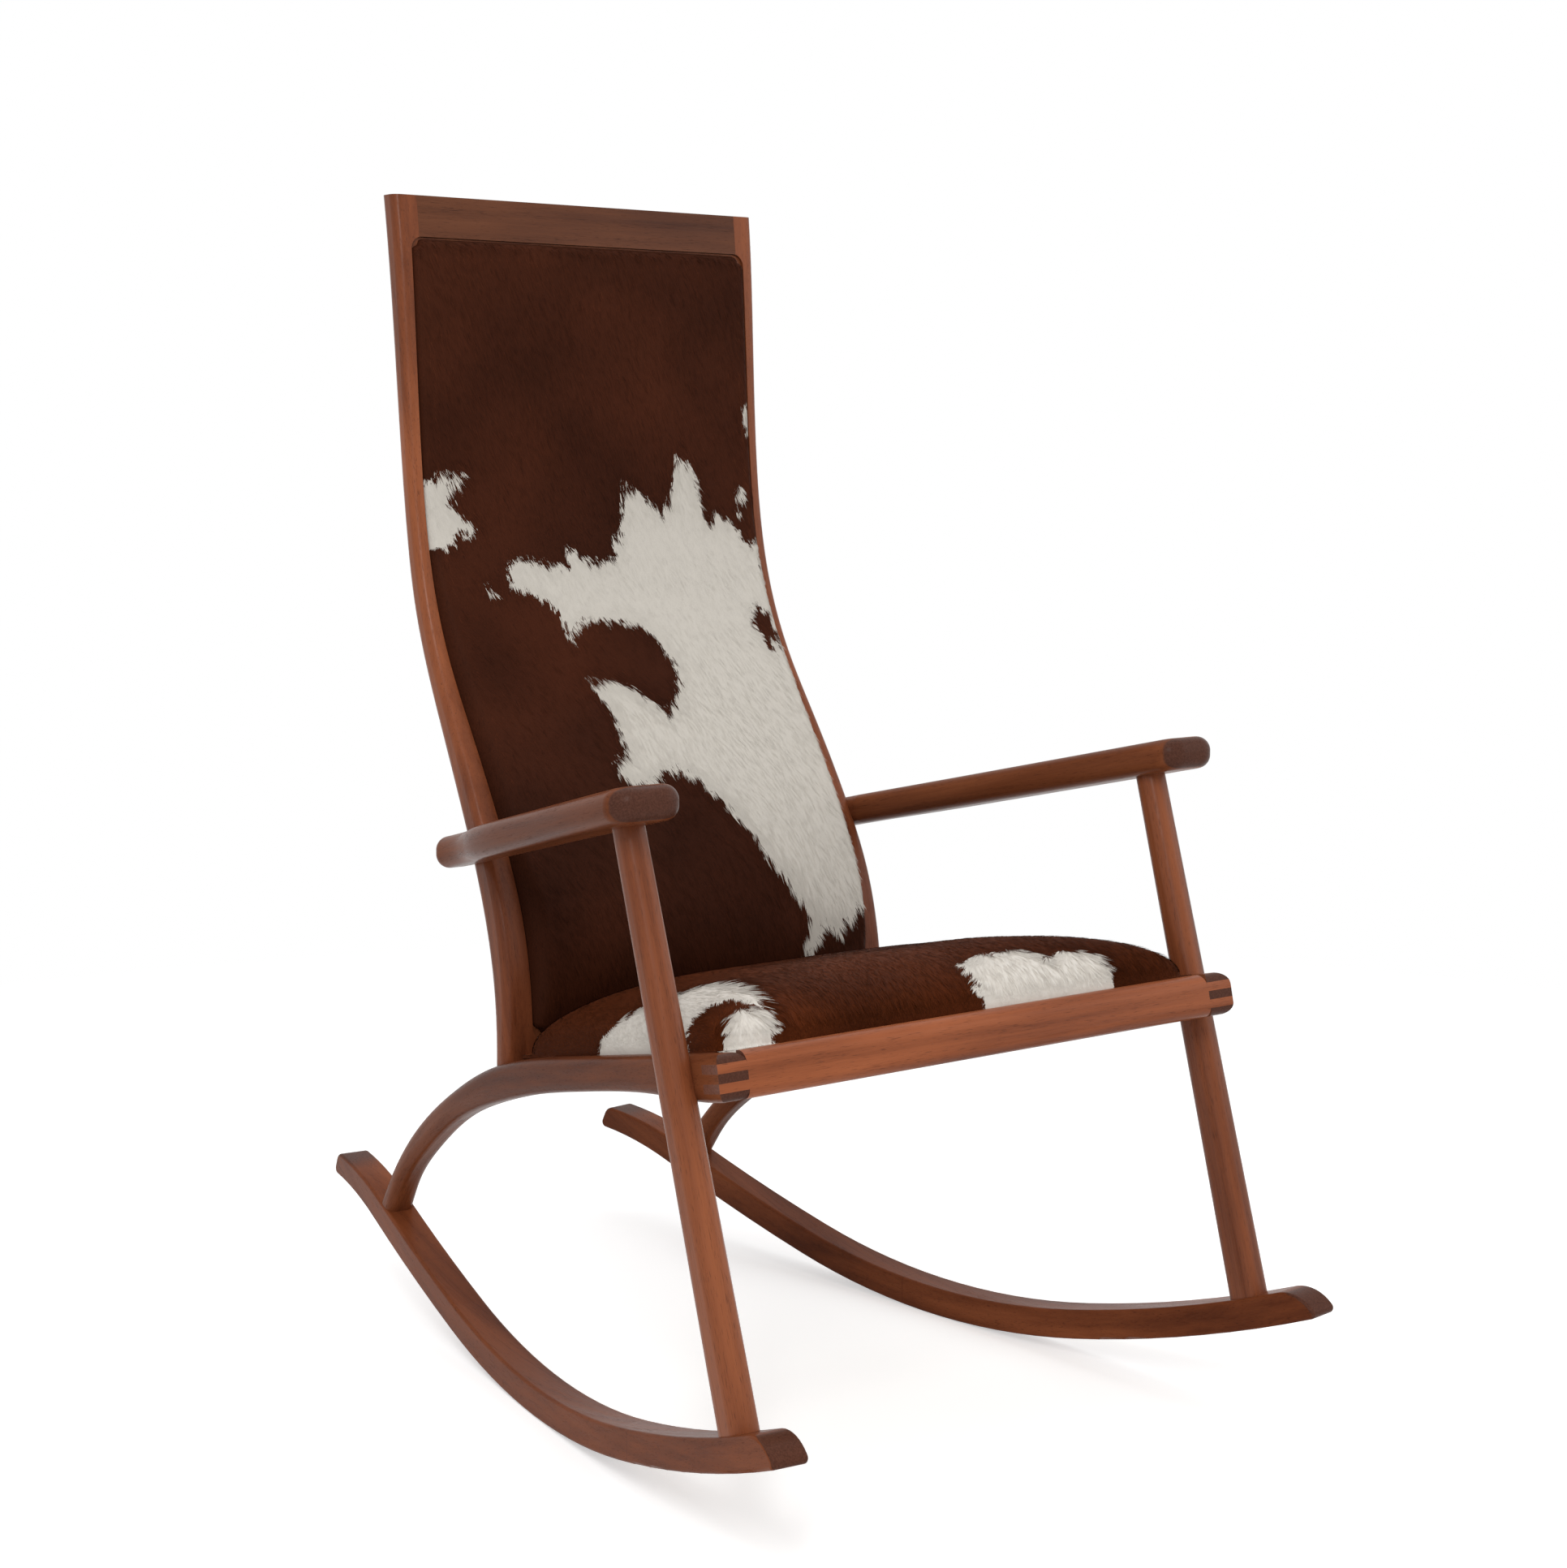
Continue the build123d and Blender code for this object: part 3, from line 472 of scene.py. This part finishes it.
def insideOutline(x, y, outline):
    # signed distance to a closed outline, positive inside
    pts = np.array(outline, float)
    inside = np.zeros(x.shape, bool)
    near = np.full(x.shape, 1e9)
    for (x0, y0), (x1, y1) in zip(pts, np.roll(pts, -1, 0)):
        dx, dy = x1 - x0, y1 - y0
        t = np.clip(((x - x0) * dx + (y - y0) * dy) / (dx * dx + dy * dy), 0, 1)
        near = np.minimum(near, np.hypot(x - x0 - t * dx, y - y0 - t * dy))
        crosses = (y0 > y) != (y1 > y)
        with np.errstate(all="ignore"):
            at = (x1 - x0) * (y - y0) / (y1 - y0) + x0
        inside ^= crosses & (x < at)
    return np.where(inside, near, -near)


def patchMap(x, y, whites, browns):
    # white patches joined, brown islands taken out again
    field = np.full(x.shape, -1.0)
    for outline in whites:
        field = np.maximum(field, insideOutline(x, y, outline))
    for outline in browns:
        field = np.minimum(field, -insideOutline(x, y, outline))
    return np.clip(field, -hide["patchReach"], hide["patchReach"])


def newPiece(name, points, faces, patch, tone, material, normals=None):
    mesh = bpy.data.meshes.new(name)
    mesh.from_pydata(points.tolist(), [], faces)
    mesh.materials.append(material)
    mesh.polygons.foreach_set("use_smooth", [True] * len(mesh.polygons))
    for label, values in (("patch", patch), ("tone", tone)):
        layer = mesh.attributes.new(label, "FLOAT", "POINT")
        layer.data.foreach_set("value", values.astype(np.float32))
    mesh.update()
    if normals is not None:
        mesh.normals_split_custom_set_from_vertices(normals.tolist())
    piece = bpy.data.objects.new(name, mesh)
    bpy.context.scene.collection.objects.link(piece)
    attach(piece, "root")
    return piece


def closedCushion(name, top, under, patch, material):
    # two grids of the same size, one over the other, joined round the rim
    rows, cols, _ = top.shape
    count = rows * cols
    at = np.arange(count).reshape(rows, cols)
    a, b, c, d = at[:-1, :-1], at[:-1, 1:], at[1:, 1:], at[1:, :-1]
    faces = np.stack([a, b, c, d], -1).reshape(-1, 4).tolist()
    faces += (np.stack([a, d, c, b], -1).reshape(-1, 4) + count).tolist()
    rim = [*at[0, :], *at[1:, -1], *at[-1, -2::-1], *at[-2:0:-1, 0]]
    for p, q in zip(rim, rim[1:] + rim[:1]):
        faces.append([int(q), int(p), int(p) + count, int(q) + count])
    points = np.concatenate([top.reshape(-1, 3), under.reshape(-1, 3)])
    return newPiece(name, points, faces, np.tile(patch.ravel(), 2), np.full(len(points), 0.5), material)


def unit(v):
    return v / np.maximum(np.linalg.norm(v, axis=-1, keepdims=True), 1e-9)


def tufts(a, b, seed, size):
    # a random height over the plane, smooth over this size, from -1 to 1
    rows, cols = 211, 223  # cells before the pattern comes round again
    table = np.random.default_rng(seed).uniform(-1, 1, (rows, cols))
    i, j = np.floor(a / size).astype(int), np.floor(b / size).astype(int)
    u, v = a / size - i, b / size - j
    u, v = u * u * (3 - 2 * u), v * v * (3 - 2 * v)

    def at(m, n):
        return table[(i + m) % rows, (j + n) % cols]

    return (at(0, 0) * (1 - u) + at(1, 0) * u) * (1 - v) + (at(0, 1) * (1 - u) + at(1, 1) * u) * v


# what the hairs of both cushions share; lengths in metres
strand = {
    "rimBand": 0.006,           # reach of the thicker growth along the turned edge
    "leanReach": 0.014,         # how far from a patch's edge the hair still leans outward
    "probe": 0.001,             # step that finds which way the edge lies
    "swirl": (0.28, 0.16),      # strength and size of the slow swirls
    "lock": (0.22, 0.006),      # and of single locks
    "stray": 0.05,
    "longRange": (0.55, 1.15),
    "longTuft": (0.35, 0.004),
    "rimLong": (0.0025, 1.1),   # longest hair at the rim, and its gain per metre from it
    "liftLeast": 0.01,
    "wideRange": (0.6, 1.3),
    "sunk": 0.0002,             # the root starts below the hide
    "slim": 0.8,                # width half way up, and lift of the tip
    "ragged": (0.0050, 0.0042), # strength and size of the big steps in a patch's edge
    "wisps": (0.002, 0.0015),   # and of the small ones
    "tone": (0.5, 0.16),        # middle and spread
    "toneTuft": (0.12, 0.005),
    "toneMost": 1.6,
    "highlightPlace": 0.013,         # how far in from the rim the painted highlight lies, as a line of paler hair
    "highlightBand": 0.0025,
    "highlightTuft": 0.008,
}


def growHair(name, s, top, patch, rim, material):
    # short flat hairs, thickest along the edges of the patches; each keeps its root's colour
    r = np.random.default_rng(s["seed"])
    count = s["count"]
    rows, cols, _ = top.shape
    a = top[:-1, 1:] - top[:-1, :-1]
    b = top[1:, :-1] - top[:-1, :-1]
    area = np.linalg.norm(np.cross(a, b), axis=-1)
    weight = area * (s["plain"] + np.exp(-(patch[:-1, :-1] / s["band"]) ** 2)
                     + s["rimShare"] * np.exp(-(rim[:-1, :-1] / strand["rimBand"]) ** 2))
    cell = r.choice(area.size, count, p=(weight / weight.sum()).ravel())
    i, j = cell // (cols - 1), cell % (cols - 1)
    u, v = r.random((2, count, 1))

    def between(g):
        g = g.reshape(rows, cols, -1)
        return (g[i, j] * (1 - u) * (1 - v) + g[i, j + 1] * u * (1 - v) + g[i + 1, j] * (1 - u) * v
                + g[i + 1, j + 1] * u * v)

    root = between(top)
    up = unit(np.cross(a, b))
    grown = np.ones((rows, cols, 3))
    grown[:-1, :-1] = up
    grown[-1], grown[:, -1] = grown[-2], grown[:, -2]
    up = unit(between(grown))
    x, y = root[:, 0], root[:, s["plan"]]
    inside = between(patch)[:, 0]

    def fallAlong(dx, dy):
        # how much nearer to the brown the far end of this step is
        behind = patchMap(x - dx, y - dy, s["whites"], s["browns"])
        return behind - patchMap(x + dx, y + dy, s["whites"], s["browns"])

    def tufted(seed, strength, size):
        return strength * tufts(x, y, seed, size)

    # toward the edge of a patch the hair also leans outward
    away = np.zeros_like(root)
    away[:, 0] = fallAlong(strand["probe"], 0)
    away[:, s["plan"]] = fallAlong(0, strand["probe"])
    away = unit(away) * np.exp(-(inside / strand["leanReach"]) ** 2)[:, None] * s["spread"]
    sway = np.array(s["sway"], float)
    flow = unit(np.array(s["flow"], float)) + away
    swirl, swirlSize = strand["swirl"]
    flow = flow + swirl * softGrain(x, root[:, 1] + root[:, 2], 8, swirlSize)[:, None] * sway
    flow = flow + tufted(5, *strand["lock"])[:, None] * sway
    flow = flow + r.normal(0, strand["stray"], flow.shape)
    flow = unit(flow - up * np.sum(flow * up, -1, keepdims=True))
    side = np.cross(up, flow)
    long = s["long"] * r.uniform(*strand["longRange"], (count, 1))
    long = long * (1 + tufted(6, *strand["longTuft"]))[:, None]
    rimLong, rimGain = strand["rimLong"]
    long = np.minimum(long, rimLong + between(rim) * rimGain)
    lift = r.uniform(strand["liftLeast"], s["lift"], (count, 1))
    wide = s["wide"] * r.uniform(*strand["wideRange"], (count, 1)) / 2
    slim = strand["slim"]
    base = root - up * strand["sunk"]
    middle = root + flow * long * 0.5 + up * long * lift
    tip = root + flow * long + up * long * lift * slim
    corners = [base - side * wide, base + side * wide, middle + side * wide * slim,
               middle - side * wide * slim, tip]
    points = np.stack(corners, 1).reshape(-1, 3)
    each = len(corners)
    first = np.arange(count) * each
    faces = np.stack([first + 1, first, first + 3, first + 2], -1).tolist()
    faces += np.stack([first + 2, first + 3, first + 4], -1).tolist()
    ragged = tufted(7, *strand["ragged"]) + tufted(9, *strand["wisps"])
    colour = np.where(inside + ragged > s["cover"], hide["patchReach"], -hide["patchReach"])
    tone = r.normal(*strand["tone"], count) + tufted(11, *strand["toneTuft"])
    # painted highlight: the hair is made paler along a line near the turned edge
    paintedHighlight = np.exp(-((between(rim)[:, 0] - strand["highlightPlace"]) / strand["highlightBand"]) ** 2)
    tone = tone + s["rimHighlight"] * paintedHighlight * (0.5 + tufted(12, 0.5, strand["highlightTuft"]))
    tone = np.clip(tone, 0, strand["toneMost"])
    return newPiece(name, points, faces, np.repeat(colour, each), np.repeat(tone, each), material,
                    np.repeat(up, each, 0))


def rayTree(node):
    mesh = nodes[node].data
    mesh.calc_loop_triangles()
    verts = [v.co.copy() for v in mesh.vertices]
    return BVHTree.FromPolygons(verts, [tuple(t.vertices) for t in mesh.loop_triangles])


def smoothLine(values, passes):
    v = np.array(values, float)
    for _ in range(passes):
        v[1:-1] = (v[:-2] + 2 * v[1:-1] + v[2:]) / 4
    return v


def softGrain(x, y, seed, size):
    # a few slow waves, for the small unevenness of hand-pulled hide
    made = np.zeros(x.shape)
    r = np.random.default_rng(seed)
    waves = 9
    for _ in range(waves):
        a = r.uniform(0, fullTurn)
        k = fullTurn / (size * r.uniform(0.6, 1.8))
        made += np.sin(k * (x * math.cos(a) + y * math.sin(a)) + r.uniform(0, fullTurn))
    return made / waves


def quarterRound(share):
    # a quarter circle: 0 at its foot, 1 where it has turned level
    return np.sqrt(np.clip(1 - (1 - share) ** 2, 0, 1))


def cornerPull(fromSide, fromEnd, r):
    # what takes each point of a square corner onto an arc, sideways and endways
    a, b = np.clip(r - fromSide, 0, r), np.clip(r - fromEnd, 0, r)
    far = np.hypot(a, b)
    share = np.where(far > 0, np.maximum(a, b) / np.maximum(far, 1e-9), 1)
    return a * share - a, b * share - b


# back cushion
backSet = {
    "edge": 0.013,          # width of the rounded edge
    "edgeShare": 0.9,       # it is no wider than this share of the pad's height
    "crown": 0.0035,
    "crownPad": 0.02,       # pad height from which the crown is full
    "corner": 0.014,
    "waves": 0.0006,
    "waveSize": 0.09,
    "waveRim": 0.03,        # the waves fade out this near to the rim
    "trim": 0.001,          # the mesh ends this far inside the solid, above and below
    "sideTrim": 0.0002,
    "inset": 0.012,         # the front is measured no nearer to the ends
    "samples": 60,
    "smooth": 14,
    "across": 150,
    "up": 280,
    "crowd": (0.8, 0.85),   # under 1 brings the lines closer together at the edges
    # height of the pad above the frame, at its foot, at these heights above the floor, and on top
    "padHeights": (0.43, 0.62, 0.8),
    "padThick": (0.012, 0.026, 0.019, 0.009, 0.008),
    "under": 0.003,         # the mesh goes on down to the panel board
    # the last hair setting is the strength of the painted highlight of paler hair along the turned edge
    "hair": {"seed": 21, "count": 60000, "long": 0.014, "wide": 0.0007, "lift": 0.022, "plain": 0.10,
             "band": 0.009, "rimShare": 0.15, "flow": (0.35, 0, -1), "sway": (1, 0, 0.3),
             "plan": 2, "spread": 0.25, "cover": 0.0008, "rimHighlight": 0.9},
    # outlines on the panel in metres: x across, z above the floor
    "whites": [
        [(-.117, .774), (-.094, .776), (-.047, .768), (-.049, .789), (-.036, .780), (-.019, .772),
         (.010, .777), (.009, .790), (.022, .806), (.029, .850), (.045, .846), (.075, .822),
         (.085, .834), (.099, .880), (.118, .865), (.121, .834), (.129, .808), (.142, .819),
         (.160, .811), (.178, .787), (.197, .790), (.200, .60), (.200, .421), (.192, .421),
         (.185, .430), (.174, .409), (.163, .412), (.152, .394), (.137, .414), (.126, .392),
         (.108, .377), (.117, .425), (.096, .453), (.090, .467), (.074, .485), (.069, .501),
         (.045, .532), (.024, .559), (.000, .574), (-.021, .565), (-.034, .558), (-.050, .557),
         (-.068, .578), (-.048, .589), (-.050, .611), (-.049, .629), (-.066, .658), (-.046, .658),
         (-.017, .648), (.014, .624), (.029, .631), (.047, .661), (.036, .692), (.017, .708),
         (-.016, .714), (-.048, .715), (-.066, .697), (-.072, .724), (-.090, .739), (-.121, .753)],
        [(-.200, .849), (-.182, .862), (-.161, .862), (-.160, .854), (-.174, .849), (-.170, .840),
         (-.178, .836), (-.149, .806), (-.169, .802), (-.178, .789), (-.200, .785)],
        [(.186, .925), (.192, .932), (.200, .928), (.200, .893), (.191, .901)],
        [(.169, .838), (.177, .846), (.183, .836), (.178, .829)],
        [(.168, .822), (.176, .825), (.175, .815)],
        [(-.147, .750), (-.143, .752), (-.142, .744)],
    ],
    "browns": [
        [(.162, .716), (.174, .722), (.184, .714), (.188, .700), (.184, .684), (.178, .688),
         (.171, .678), (.166, .690), (.160, .702)],
        [(.193, .775), (.200, .780), (.200, .735), (.195, .752)],
    ],
}
backRays = rayTree("back_hide")
backLow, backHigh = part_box("back_hide")


def backFace(zs):
    # front of the back cushion at each height, at its middle
    found = []
    for z in zs:
        hit = backRays.ray_cast(Vector((0, -1, z)), Vector((0, 1, 0)))
        if hit[0]:
            found.append(hit[0].y)
        else:
            found.append(found[-1] if found else 0)
    return smoothLine(found, 3)


def crowded(count, power):
    # from -1 to 1, with both ends closer together
    even = np.linspace(-1, 1, count)
    return (np.abs(even) ** power) * np.sign(even)


def makeBack(s):
    zLow, zHigh = backLow.z + s["trim"], backHigh.z - s["trim"]
    zMid, zHalf = (zLow + zHigh) / 2, (zHigh - zLow) / 2
    half = backHigh.x - s["sideTrim"]
    inner = np.linspace(zLow + s["inset"], zHigh - s["inset"], s["samples"])
    line = backFace(inner)
    slopeLow = (line[1] - line[0]) / (inner[1] - inner[0])
    slopeHigh = (line[-1] - line[-2]) / (inner[-1] - inner[-2])
    zs = np.linspace(zLow, zHigh, s["up"])
    ys = np.interp(zs, inner, line)
    ys = np.where(zs < inner[0], line[0] + (zs - inner[0]) * slopeLow, ys)
    ys = np.where(zs > inner[-1], line[-1] + (zs - inner[-1]) * slopeHigh, ys)
    ys = smoothLine(ys, s["smooth"])
    crowdAcross, crowdUp = s["crowd"]
    widths = half * crowded(s["across"], crowdAcross)
    heights = zMid + zHalf * crowded(s["up"], crowdUp)
    depths = np.interp(heights, zs, ys)
    gridX, gridZ = np.meshgrid(widths, heights)
    gridY = np.repeat(depths[:, None], len(widths), 1)
    # the way that the front looks at each height
    slope = np.gradient(depths, heights)
    outY = (-1 / np.sqrt(1 + slope * slope))[:, None]
    outZ = (slope / np.sqrt(1 + slope * slope))[:, None]
    fromSide = half - np.abs(gridX)
    fromEnd = zHalf - np.abs(gridZ - zMid)
    r = s["corner"]
    inCorner = (fromSide < r) & (fromEnd < r)
    rim = np.where(inCorner, r - np.hypot(r - fromSide, r - fromEnd), np.minimum(fromSide, fromEnd))
    rim = np.maximum(rim, 0)
    # the pad stands out less at the top, so the edge is rounded less there
    pad = np.interp(heights, [zLow, *s["padHeights"], zHigh], s["padThick"])[:, None]
    edge = np.minimum(s["edge"], pad * s["edgeShare"])
    drop = pad * (1 - quarterRound(np.clip(rim / edge, 0, 1)))
    crown = s["crown"] * (1 - (gridX / half) ** 2) * np.clip(pad / s["crownPad"], 0, 1)
    waves = s["waves"] * softGrain(gridX, gridZ, 3, s["waveSize"]) * np.clip(rim / s["waveRim"], 0, 1)
    lift = crown - drop + waves
    sunk = np.repeat(-pad - s["under"], len(widths), 1)
    top = np.stack([gridX, gridY + outY * lift, gridZ + outZ * lift], -1)
    under = np.stack([gridX, gridY + outY * sunk, gridZ + outZ * sunk], -1)
    sidePull, endPull = cornerPull(fromSide, fromEnd, r)
    for grid in (top, under):
        grid[..., 0] += np.where(inCorner, np.sign(gridX) * sidePull, 0)
        grid[..., 2] += np.where(inCorner, np.sign(gridZ - zMid) * endPull, 0)
    patch = patchMap(top[..., 0], top[..., 2], s["whites"], s["browns"])
    return top, under, patch, rim


backHideLook = makeHide("back hide", (0.35, -0.05, -1), brown=tint(56, 26, 14),
                        cream=tint(210, 204, 194), depth=0.5, gloss=0.04)
backTop, backUnder, backPatch, backRim = makeBack(backSet)
backCushion = closedCushion("backCushion", backTop, backUnder, backPatch, backHideLook)
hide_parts("back_hide", "back_foam")
growHair("backHair", {**backSet, **backSet["hair"]}, backTop, backPatch, backRim, backHideLook)
print("back cushion done")


# seat cushion
seatSet = {
    "edge": 0.150,          # the crown reaches its full height this far in
    "crown": 0.0585,
    "base": -0.002,         # top of the panel board, under the top of the seat frame
    "rim": 0.0022,          # the cushion's own height at its edge
    "soft": 0.016,          # how gently the rises from the four sides meet
    "corner": 0.012,
    "waves": 0.0007,
    "waveSize": 0.11,
    "waveRim": 0.04,        # the waves fade out this near to the rim
    "ends": 0.03,           # the width is measured this near to the front and to the rear
    "square": 0.015,        # the sides start to close this far behind the front
    "under": 0.001,
    "cols": 190,
    "rows": 160,
    "crowd": 1.7,           # over 1 brings the lines closer together at the rim
    # the last hair setting is the strength of the painted highlight of paler hair along the turned edge
    "hair": {"seed": 22, "count": 56000, "long": 0.014, "wide": 0.0007, "lift": 0.03, "plain": 0.12,
             "band": 0.008, "rimShare": 0.5, "flow": (-0.2, -1, -0.25), "sway": (1, 0.3, 0),
             "plan": 1, "spread": 0.8, "cover": 0.0004, "rimHighlight": 0.3},
    # outlines in plan, metres
    "whites": [
        [(-.262, -.135), (-.236, -.128), (-.206, -.155), (-.198, -.185), (-.182, -.200), (-.178, -.225),
         (-.190, -.268), (-.206, -.330), (-.212, -.352), (-.222, -.372), (-.270, -.372)],
        [(.000, -.372), (.008, -.356), (.017, -.334), (.016, -.316), (.040, -.306), (.058, -.294),
         (.092, -.295), (.108, -.326), (.120, -.322), (.137, -.315), (.150, -.318), (.160, -.332),
         (.157, -.372)],
    ],
    "browns": [
        [(-.262, -.300), (-.244, -.276), (-.226, -.276), (-.217, -.294), (-.211, -.314), (-.215, -.330),
         (-.226, -.322), (-.240, -.328), (-.256, -.345), (-.270, -.350)],
    ],
}


def makeSeat(s):
    # the seat frame's own axes: back runs to the rear, up stands on the rails
    angle = math.atan(seatFall)
    side = np.array([1.0, 0, 0])
    back = np.array([0, math.cos(angle), -math.sin(angle)])
    up = np.array([0, math.sin(angle), math.cos(angle)])
    # plan of the panel: straight sides that close toward the rear
    solid = np.array([v.co for v in nodes["seat_hide"].data.vertices])
    base = (solid @ up).min() - s["base"]
    runs = solid @ back
    front, rear = runs.min(), runs.max()
    frontHalf = np.abs(solid[runs < front + s["ends"], 0]).max()
    rearHalf = np.abs(solid[runs > rear - s["ends"], 0]).max()
    lean = (frontHalf - rearHalf) / (rear - front - s["ends"])

    def towardRim(count):
        even = np.linspace(-1, 1, count)
        return np.sign(even) * (1 - (1 - np.abs(even)) ** s["crowd"])

    gridU, gridV = np.meshgrid(towardRim(s["cols"]), towardRim(s["rows"]))
    run = (front + rear) / 2 + gridV * (rear - front) / 2
    half = frontHalf - lean * np.maximum(0, run - front - s["square"])
    gridX = gridU * half
    fromSide, fromFront, fromRear = half - np.abs(gridX), run - front, rear - run
    soft = s["soft"]
    rim = -soft * np.log(np.exp(-fromSide / soft) + np.exp(-fromFront / soft) + np.exp(-fromRear / soft))
    rim = np.clip(rim, 0, s["edge"])
    foot = s["base"] + s["rim"]
    high = foot + (s["crown"] - s["base"] - s["rim"]) * quarterRound(rim / s["edge"])
    high += s["waves"] * softGrain(gridX, run, 5, s["waveSize"]) * np.clip(rim / s["waveRim"], 0, 1)
    high += base
    plan = gridX[..., None] * side + run[..., None] * back
    top = plan + high[..., None] * up
    under = plan + (base + s["base"] - s["under"]) * up
    sidePull, endPull = cornerPull(fromSide, np.minimum(fromFront, fromRear), s["corner"])
    inward = np.where(fromFront < fromRear, -1, 1)
    for grid in (top, under):
        grid += (np.sign(gridX) * sidePull)[..., None] * side
        grid += (inward * endPull)[..., None] * back
    patch = patchMap(top[..., 0], top[..., 1], s["whites"], s["browns"])
    return top, under, patch, rim


seatHideLook = makeHide("seat hide", (-0.15, -1, -0.15), brown=tint(74, 33, 13),
                        cream=tint(226, 220, 211), depth=0.5, gloss=0.02)
seatTop, seatUnder, seatPatch, seatRim = makeSeat(seatSet)
seatCushion = closedCushion("seatCushion", seatTop, seatUnder, seatPatch, seatHideLook)
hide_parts("seat_hide", "seat_foam")
growHair("seatHair", {**seatSet, **seatSet["hair"]}, seatTop, seatPatch, seatRim, seatHideLook)
print("seat cushion done")


# floor, light and white surround
studio = {
    "floor": (0.82, 0.82, 0.82),
    "floorSize": 60,
    "floorDrop": 0.0002,    # the floor lies just under the rockers
    "lift": 0.5,            # share of white that the camera sees added on the floor
    "fade": (0.9, 2.2),     # the floor turns to plain white between these distances
    "sky": 0.55,
    # place, target, size and power of each lamp
    "lamps": {
        "key": ((-1.7, -2.0, 2.3), (0, 0, 0.6), (0.5, 1.3), 34),
        "fill": ((2.4, -1.8, 1.5), (0, 0, 0.5), (2.0, 2.0), 14),
        "top": ((0.2, 0.6, 2.8), (0, 0, 0.4), (2.4, 2.4), 20),
    },
}


def areaLamp(name, place, target, size, power):
    data = bpy.data.lights.new(name, "AREA")
    data.shape = "RECTANGLE"
    data.size, data.size_y = size
    data.energy = power
    lamp = bpy.data.objects.new(name, data)
    bpy.context.scene.collection.objects.link(lamp)
    lamp.location = place
    lamp.rotation_euler = (Vector(target) - Vector(place)).to_track_quat("-Z", "Y").to_euler()


def seenWhite(tree):
    # 1 where a ray comes straight from the camera or off a shiny or clear thing
    rays = tree.nodes.new("ShaderNodeLightPath")
    seen = sums(tree, "MAXIMUM", rays.outputs["Is Camera Ray"], rays.outputs["Is Glossy Ray"])
    return sums(tree, "MAXIMUM", seen, rays.outputs["Is Transmission Ray"])


def glow(tree, strength):
    white = tree.nodes.new("ShaderNodeEmission")
    white.inputs["Strength"].default_value = strength
    return white.outputs[0]


def mixed(tree, fac, a, b):
    m = tree.nodes.new("ShaderNodeMixShader")
    tree.links.new(fac, m.inputs[0])
    tree.links.new(a, m.inputs[1])
    tree.links.new(b, m.inputs[2])
    return m.outputs[0]


def makeFloor(s):
    bpy.ops.mesh.primitive_plane_add(size=s["floorSize"], location=(0, 0, -s["floorDrop"]))
    floor = bpy.context.object
    floor.name = "floor"
    mat, tree, skin = newMaterial("studio paper")
    skin.inputs["Base Color"].default_value = (*s["floor"], 1)
    skin.inputs["Roughness"].default_value = 0.9
    skin.inputs["Specular IOR Level"].default_value = 0.0
    out = [n for n in tree.nodes if n.type == "OUTPUT_MATERIAL"][0]
    # what the camera sees is lifted to white, so that only the chair's shadow is left on it
    lifted = tree.nodes.new("ShaderNodeAddShader")
    tree.links.new(skin.outputs[0], lifted.inputs[0])
    tree.links.new(glow(tree, s["lift"]), lifted.inputs[1])
    place = tree.nodes.new("ShaderNodeTexCoord").outputs["Object"]
    far = tree.nodes.new("ShaderNodeVectorMath")
    far.operation = "LENGTH"
    tree.links.new(place, far.inputs[0])
    fade = span(tree, far.outputs["Value"], *s["fade"])
    faded = mixed(tree, fade, lifted.outputs[0], glow(tree, 1.0))
    tree.links.new(mixed(tree, seenWhite(tree), skin.outputs[0], faded), out.inputs[0])
    floor.data.materials.append(mat)


def makeWorld(s):
    world = bpy.data.worlds.new("studio")
    bpy.context.scene.world = world
    world.use_nodes = True
    tree = world.node_tree
    tree.nodes.clear()
    out = tree.nodes.new("ShaderNodeOutputWorld")
    skies = []
    for strength in (s["sky"], 1.0):
        sky = tree.nodes.new("ShaderNodeBackground")
        sky.inputs["Color"].default_value = (1, 1, 1, 1)
        sky.inputs["Strength"].default_value = strength
        skies.append(sky.outputs[0])
    tree.links.new(mixed(tree, seenWhite(tree), *skies), out.inputs[0])


makeFloor(studio)
makeWorld(studio)
for name, lamp in studio["lamps"].items():
    areaLamp(name, *lamp)
bpy.context.scene.view_settings.view_transform = "Standard"
print("studio done")
